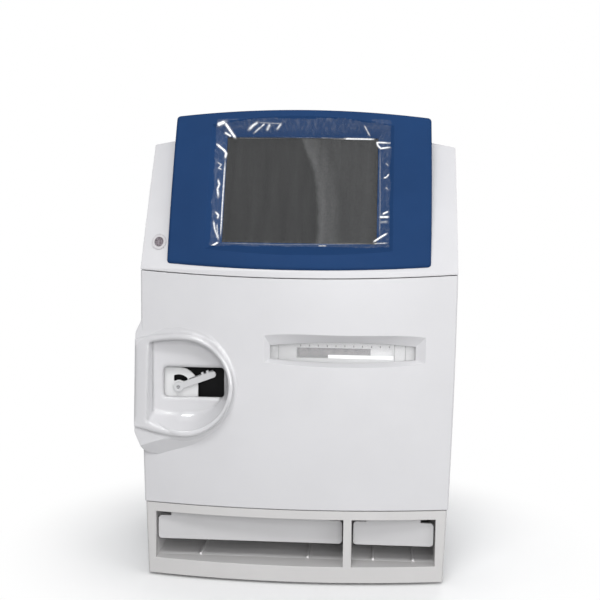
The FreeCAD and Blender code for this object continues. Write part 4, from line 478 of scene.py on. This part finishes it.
def to_stroke(point, stroke):
    """Distance of a point from a stroke, and how far along the stroke it lies."""
    best = (1e9, 0.0)
    count = len(stroke) - 1
    for number in range(count):
        start, end = Vector(stroke[number]), Vector(stroke[number + 1])
        run = end - start
        along = max(0.0, min(1.0, (point - start).dot(run) / run.length_squared))
        gap = (point - start - run * along).length
        if gap < best[0]:
            best = (gap, (number + along) / count)
    return best


def fading(part, least, rate):
    """A share that grows from this least value at either end of a run to 1 along its middle."""
    return min(1.0, least + rate * min(part, 1.0 - part))


def front_of(ground, x, z):
    """How far back a node's front lies, looked at straight from the front."""
    start = Vector((x, RAY_START, z))
    return ground.ray_cast(start, Vector((0.0, 1.0, 0.0)))[0].y


def add_tube(form, rings):
    """Faces over closed rings of points, with a cap at either end."""
    rows = [[form.verts.new(point) for point in ring] for ring in rings]
    for first, second in zip(rows, rows[1:]):
        for k in range(len(first)):
            form.faces.new((first[k], first[k - 1], second[k - 1], second[k]))
    form.faces.new(rows[0])
    form.faces.new(rows[-1][::-1])
    bmesh.ops.recalc_face_normals(form, faces=form.faces)


def piece_from(form, name, material, body):
    """A piece from a form, which this uses up."""
    mesh = bpy.data.meshes.new(name)
    form.to_mesh(mesh)
    form.free()
    new_piece(name, mesh, material, body)


def plates(name, spots, label, material, body):
    """Thin marks laid on a node's front: each spot is left, right, low, high in metres."""
    thick, steps = 0.00015, 4
    ground = surfaces(label)[0]
    form = bmesh.new()
    for left, right, low, high in spots:
        rings = []
        for step in range(steps + 1):
            x = left + (right - left) * step / steps
            corners = ((low, 0.0), (high, 0.0), (high, thick), (low, thick))
            rings.append([(x, front_of(ground, x, z) - rise, z) for z, rise in corners])
        add_tube(form, rings)
    piece_from(form, name, material, body)


def outward(turn):
    """Outward direction on the door's face at an angle in degrees."""
    angle = math.radians(turn)
    return Vector((math.cos(angle), 0.0, math.sin(angle)))


def lip_bead():
    """Rounded bead along the dish's mouth, half sunk in the lip and fading out at its ends."""
    centre, reach = Vector((-0.1238, 0.0, 0.2202)), 0.0530
    start, sweep, steps, sides = -139.0, 262.0, 128, 16
    half_width, wider_below, half_depth = 0.0026, 0.0010, 0.0021
    sunk, drawn_out = 0.0016, 0.0002
    ground = surfaces("front_door")[0]
    rings = []
    for number in range(steps + 1):
        part = number / steps
        out = outward(start + sweep * part)
        taper = fading(part, 0.06, 6.0)
        wide = taper * (half_width + wider_below * max(0.0, -out.z))
        place = centre + reach * out
        depth = front_of(ground, place.x, place.z) + sunk - drawn_out * taper
        ring = []
        for side in range(sides):
            spin = 2.0 * math.pi * side / sides
            point = place + out * (wide * math.cos(spin))
            ring.append((point.x, depth - half_depth * taper * math.sin(spin), point.z))
        rings.append(ring)
    form = bmesh.new()
    add_tube(form, rings)
    piece_from(form, "lip_bead", MATERIALS["dish_gloss"], "door")


def dish_fillet():
    """Rounding between the dish's floor and its wall, along the bottom and the right side."""
    x, z = -0.1215, 0.1980
    start, sweep, steps, rows = -142.0, 134.0, 96, 12
    inward, climb, above_floor, lift = 0.0065, 0.0100, 0.0004, 0.0001
    ground = surfaces("front_door")[0]
    floor = front_of(ground, x, z)
    form = bmesh.new()
    columns = []
    for number in range(steps + 1):
        part = number / steps
        out = outward(start + sweep * part)
        taper = fading(part, 0.25, 4.0)
        foot = ground.ray_cast(Vector((x, floor - above_floor, z)), out)[0]
        wall = ground.ray_cast(Vector((x, floor - climb * taper, z)), out)[0]
        flat = Vector((foot.x, floor - lift, foot.z)) - out * inward * taper
        column = []
        for row in range(rows + 1):
            t = row / rows
            place = flat * (1 - t) ** 2 + foot * (2 * t * (1 - t)) + wall * t**2
            column.append(form.verts.new(place - out * lift))
        columns.append(column)
    for first, second in zip(columns, columns[1:]):
        for row in range(rows):
            form.faces.new((first[row], first[row + 1], second[row + 1], second[row]))
    form.normal_update()
    if sum(face.normal.y for face in form.faces) > 0:
        bmesh.ops.reverse_faces(form, faces=form.faces)
    piece_from(form, "dish_fillet", MATERIALS["dish_gloss"], "door")


def window_marks():
    """Plain ticks over the channel and the module's seams, seen through the window."""
    tick_first, tick_pitch, tick_wide, tick_count = 0.003, 0.0098, 0.0010, 11
    tick_low, tick_high = 0.2636, 0.2658
    seam_places, seam_wide = (-0.0212, 0.1071, 0.1190), 0.0005
    seam_low, seam_high = 0.2450, 0.2720
    grey = moulded("mark_grey", (0.22, 0.21, 0.22), 0.5)
    seam = moulded("seam_grey", (0.40, 0.395, 0.40), 0.5)
    starts = [tick_first + tick_pitch * number for number in range(tick_count)]
    ticks = [(x, x + tick_wide, tick_low, tick_high) for x in starts]
    plates("channel_ticks", ticks, "electrode_housing", grey, "casing")
    seams = [(x, x + seam_wide, seam_low, seam_high) for x in seam_places]
    plates("module_seams", seams, "electrode_housing", seam, "casing")


def film():
    """The crinkled film, draped over the screen and up the slopes round it."""
    step = 0.8
    left, right, low, high = -99.5, 101.0, 17.0, 170.6
    trim, raggedness = 1.7, 1.6
    screen_half, screen_low, screen_high, settle = 82.0, 30.0, 152.0, 6.0
    above, clear_by, sink = 60.0, 0.6, 0.15
    core, skirt, reach, tallest = 0.78, 1.6, 5.0, 1.1
    wide, easings = 4.0, 3
    columns = int((right - left) / step) + 1
    rows = int((high - low) / step) + 1
    trees = surfaces("display_bezel", "touch_glass")
    sight = EYE - FOOT
    eye = 1000.0 * Vector((sight.x, sight.dot(UP), sight.dot(OUT)))

    def on_screen(across, up, out):
        """Where the photo's line of sight through a point meets the screen's plane."""
        run = (SCREEN_OUT - eye.z) / (out - eye.z)
        return Vector((eye.x + run * (across - eye.x), eye.y + run * (up - eye.y)))

    def ground(across, up):
        start = on_display(across, up, above)
        deep = [tree.ray_cast(start, -OUT)[3] for tree in trees]
        return above - min(1000.0 * d for d in deep if d is not None)

    tall = int((high - low) / wide) + 2
    broad = int((right - left) / wide) + 2
    coarse = [
        [ground(left + wide * i, low + wide * j) for i in range(broad)] for j in range(tall)
    ]
    eased = [row[:] for row in coarse]
    for _ in range(easings):
        last = [row[:] for row in eased]
        for j in range(1, tall - 1):
            for i in range(1, broad - 1):
                beside = last[j - 1][i] + last[j + 1][i] + last[j][i - 1] + last[j][i + 1]
                eased[j][i] = max(coarse[j][i] - clear_by, 0.5 * last[j][i] + 0.125 * beside)

    def draped(across, up):
        i, j = (across - left) / wide, (up - low) / wide
        a, b = min(int(i), broad - 2), min(int(j), tall - 2)
        s, t = i - a, j - b
        under = eased[b][a] * (1 - s) + eased[b][a + 1] * s
        over = eased[b + 1][a] * (1 - s) + eased[b + 1][a + 1] * s
        return under * (1 - t) + over * t

    grid, glints, places = {}, [], []
    for row in range(rows):
        for column in range(columns):
            across, up = left + step * column, low + step * row
            ragged = raggedness * noise.noise(Vector((across * 0.05, up * 0.05, 3.0)))
            inside = min(across - left, right - across, up - low, high - up) - trim - ragged
            if inside < 0:
                continue
            margin = max(0.0, abs(across) - screen_half, up - screen_high, screen_low - up)
            loose = min(1.0, margin / settle)
            lift, white = 0.0, 0.0
            rest = draped(across, up) + clear_by
            mark = on_screen(across, up, rest)
            for stroke, half, level in FOLDS:
                gap, along = to_stroke(mark, stroke)
                if gap > reach * half:
                    continue
                speck = 0.75 + 0.5 * noise.noise(Vector((across * 0.9, up * 0.9, level)))
                shape = math.exp(-((gap / (core * half)) ** 2)) * fading(along, 0.25, 6.0)
                rise = math.exp(-((gap / (skirt * half)) ** 2))
                lift = max(lift, tallest * level * rise)
                # Painted highlight: the white glint along the nearest stroke
                white = max(white, level * shape * min(1.2, speck + 0.25))
            wave = noise.noise(Vector((across * 0.11, up * 0.11, 0.0)))
            crease = 1.0 - abs(noise.noise(Vector((across * 0.22, up * 0.10, 7.0)))) * 2.4
            # Painted sheen: faint whitening on the crests of the loose margins
            sheen = loose * max(0.0, crease) ** 5 * 0.05 * (0.5 + abs(wave) * 2)
            height = rest - sink + loose * (0.5 * abs(wave) + 0.4 * max(0, crease))
            grid[(column, row)] = len(places)
            places.append(on_display(across, up, height + lift * (0.35 + 0.65 * loose)))
            glints.append(min(1.0, 1.25 * white + sheen + 0.012 * loose))
    faces = []
    for (column, row), first in grid.items():
        ring = [(column + 1, row), (column + 1, row + 1), (column, row + 1)]
        if all(key in grid for key in ring):
            faces.append((first, *[grid[key] for key in ring]))
    mesh = bpy.data.meshes.new("film")
    mesh.from_pydata(places, [], faces)
    layer = mesh.attributes.new("fold_glint", "FLOAT", "POINT")
    layer.data.foreach_set("value", glints)
    made = new_piece("crinkled_film", mesh, MATERIALS["clear_film"], "casing")
    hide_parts("screen_film")


film()
lip_bead()
dish_fillet()
window_marks()


# Studio


# Each lamp's name, its place, the point it faces, its two sides and its watts
LAMPS = (
    ("key_soft", (-0.30, -1.55, 2.05), (0.0, 0.0, 0.3), (0.9, 0.5), 17.0),
    ("fill_right", (1.9, -1.5, 1.0), (0.0, 0.0, 0.25), (1.6, 1.6), 16.0),
    ("front_soft", (0.35, -2.2, 0.60), (0.0, 0.0, 0.2), (1.1, 0.8), 17.0),
    ("spark", (-0.35, -2.2, 1.35), (-0.12, -0.17, 0.2), (0.3, 0.12), 5.0),
    ("back_soft", (0.3, 2.4, 1.3), (0.0, 0.1, 0.25), (1.6, 1.2), 20.0),
    ("top_soft", (0.0, 0.2, 2.4), (0.0, 0.0, 0.4), (2.4, 2.4), 6.0),
)


def area_light(name, place, target, size, power):
    """A rectangular lamp at a place, turned to the point it faces."""
    lamp = bpy.data.lights.new(name, "AREA")
    lamp.shape = "RECTANGLE"
    lamp.size, lamp.size_y = size
    lamp.energy = power
    thing = bpy.data.objects.new(name, lamp)
    thing.location = place
    aim = Vector(target) - Vector(place)
    thing.rotation_euler = aim.to_track_quat("-Z", "Y").to_euler()
    bpy.context.scene.collection.objects.link(thing)


def floor_shader():
    """Pale floor that keeps the shadow near the machine and fades to plain white."""
    fade_start, fade_end = 0.19, 0.38
    unseen = (0.42, 0.42, 0.42, 1.0)
    made = Shader("floor_pale", (0.97, 0.97, 0.972), 0.6)
    made.mottle(made.noise(3.0, 3.0), 0.005)
    made.rough_from(made.noise(8.0, 3.0), 0.05)
    glow = made.add("ShaderNodeEmission")
    glow.inputs["Color"].default_value = (1.0, 1.0, 1.0, 1.0)
    x, y, _ = made.axes()
    away = made.smooth(made.length(x, y), fade_start, fade_end)
    seen = made.add("ShaderNodeLightPath").outputs["Is Camera Ray"]
    bounce = made.add("ShaderNodeBsdfDiffuse")
    bounce.inputs["Color"].default_value = unseen
    out = next(node for node in made.tree.nodes if node.type == "OUTPUT_MATERIAL")
    shown = made.add("ShaderNodeMixShader")
    made.link(away, shown.inputs[0])
    made.link(made.body.outputs[0], shown.inputs[1])
    made.link(glow.outputs[0], shown.inputs[2])
    mix = made.add("ShaderNodeMixShader")
    made.link(seen, mix.inputs[0])
    made.link(bounce.outputs[0], mix.inputs[1])
    made.link(shown.outputs[0], mix.inputs[2])
    made.link(mix.outputs[0], out.inputs["Surface"])
    return made.material


def studio():
    """Air that is white to the camera and dimmer to everything else, a floor and the lamps."""
    soft, white = (0.96, 0.98, 1.0), (1.0, 1.0, 1.0)
    dim, full = 0.34, 1.0
    floor_reach = 6.0
    scene = bpy.context.scene
    scene.view_settings.view_transform = "Standard"
    world = bpy.data.worlds.new("studio_air")
    world.use_nodes = True
    scene.world = world
    tree = world.node_tree
    tree.nodes.clear()
    out = tree.nodes.new("ShaderNodeOutputWorld")
    rays = tree.nodes.new("ShaderNodeLightPath")
    pick = tree.nodes.new("ShaderNodeMath")
    pick.operation = "MAXIMUM"
    mix = tree.nodes.new("ShaderNodeMixShader")
    tree.links.new(rays.outputs["Is Camera Ray"], pick.inputs[0])
    tree.links.new(rays.outputs["Is Transmission Ray"], pick.inputs[1])
    tree.links.new(pick.outputs[0], mix.inputs[0])
    for number, (colour, strength) in enumerate(((soft, dim), (white, full)), start=1):
        shade = tree.nodes.new("ShaderNodeBackground")
        shade.inputs["Color"].default_value = (*colour, 1.0)
        shade.inputs["Strength"].default_value = strength
        tree.links.new(shade.outputs[0], mix.inputs[number])
    tree.links.new(mix.outputs[0], out.inputs[0])

    mesh = bpy.data.meshes.new("floor")
    form = bmesh.new()
    bmesh.ops.create_circle(form, cap_ends=True, segments=96, radius=floor_reach)
    form.to_mesh(mesh)
    form.free()
    floor = bpy.data.objects.new("floor", mesh)
    scene.collection.objects.link(floor)
    mesh.materials.append(floor_shader())

    for lamp in LAMPS:
        area_light(*lamp)


def camera():
    """The photo's eye, a long lens and a slight roll."""
    sensor, focal, nearest, tilt = 36.0, 66.0, 0.05, 0.69
    lens = bpy.data.cameras.new("photo_camera")
    lens.sensor_width = sensor
    lens.lens = focal
    lens.clip_start = nearest
    thing = bpy.data.objects.new("photo_camera", lens)
    bpy.context.scene.collection.objects.link(thing)
    turn = (TARGET - EYE).to_track_quat("-Z", "Y").to_matrix().to_4x4()
    roll = Matrix.Rotation(math.radians(tilt), 4, "Z")
    thing.matrix_world = Matrix.Translation(EYE) @ turn @ roll
    bpy.context.scene.camera = thing


studio()
camera()
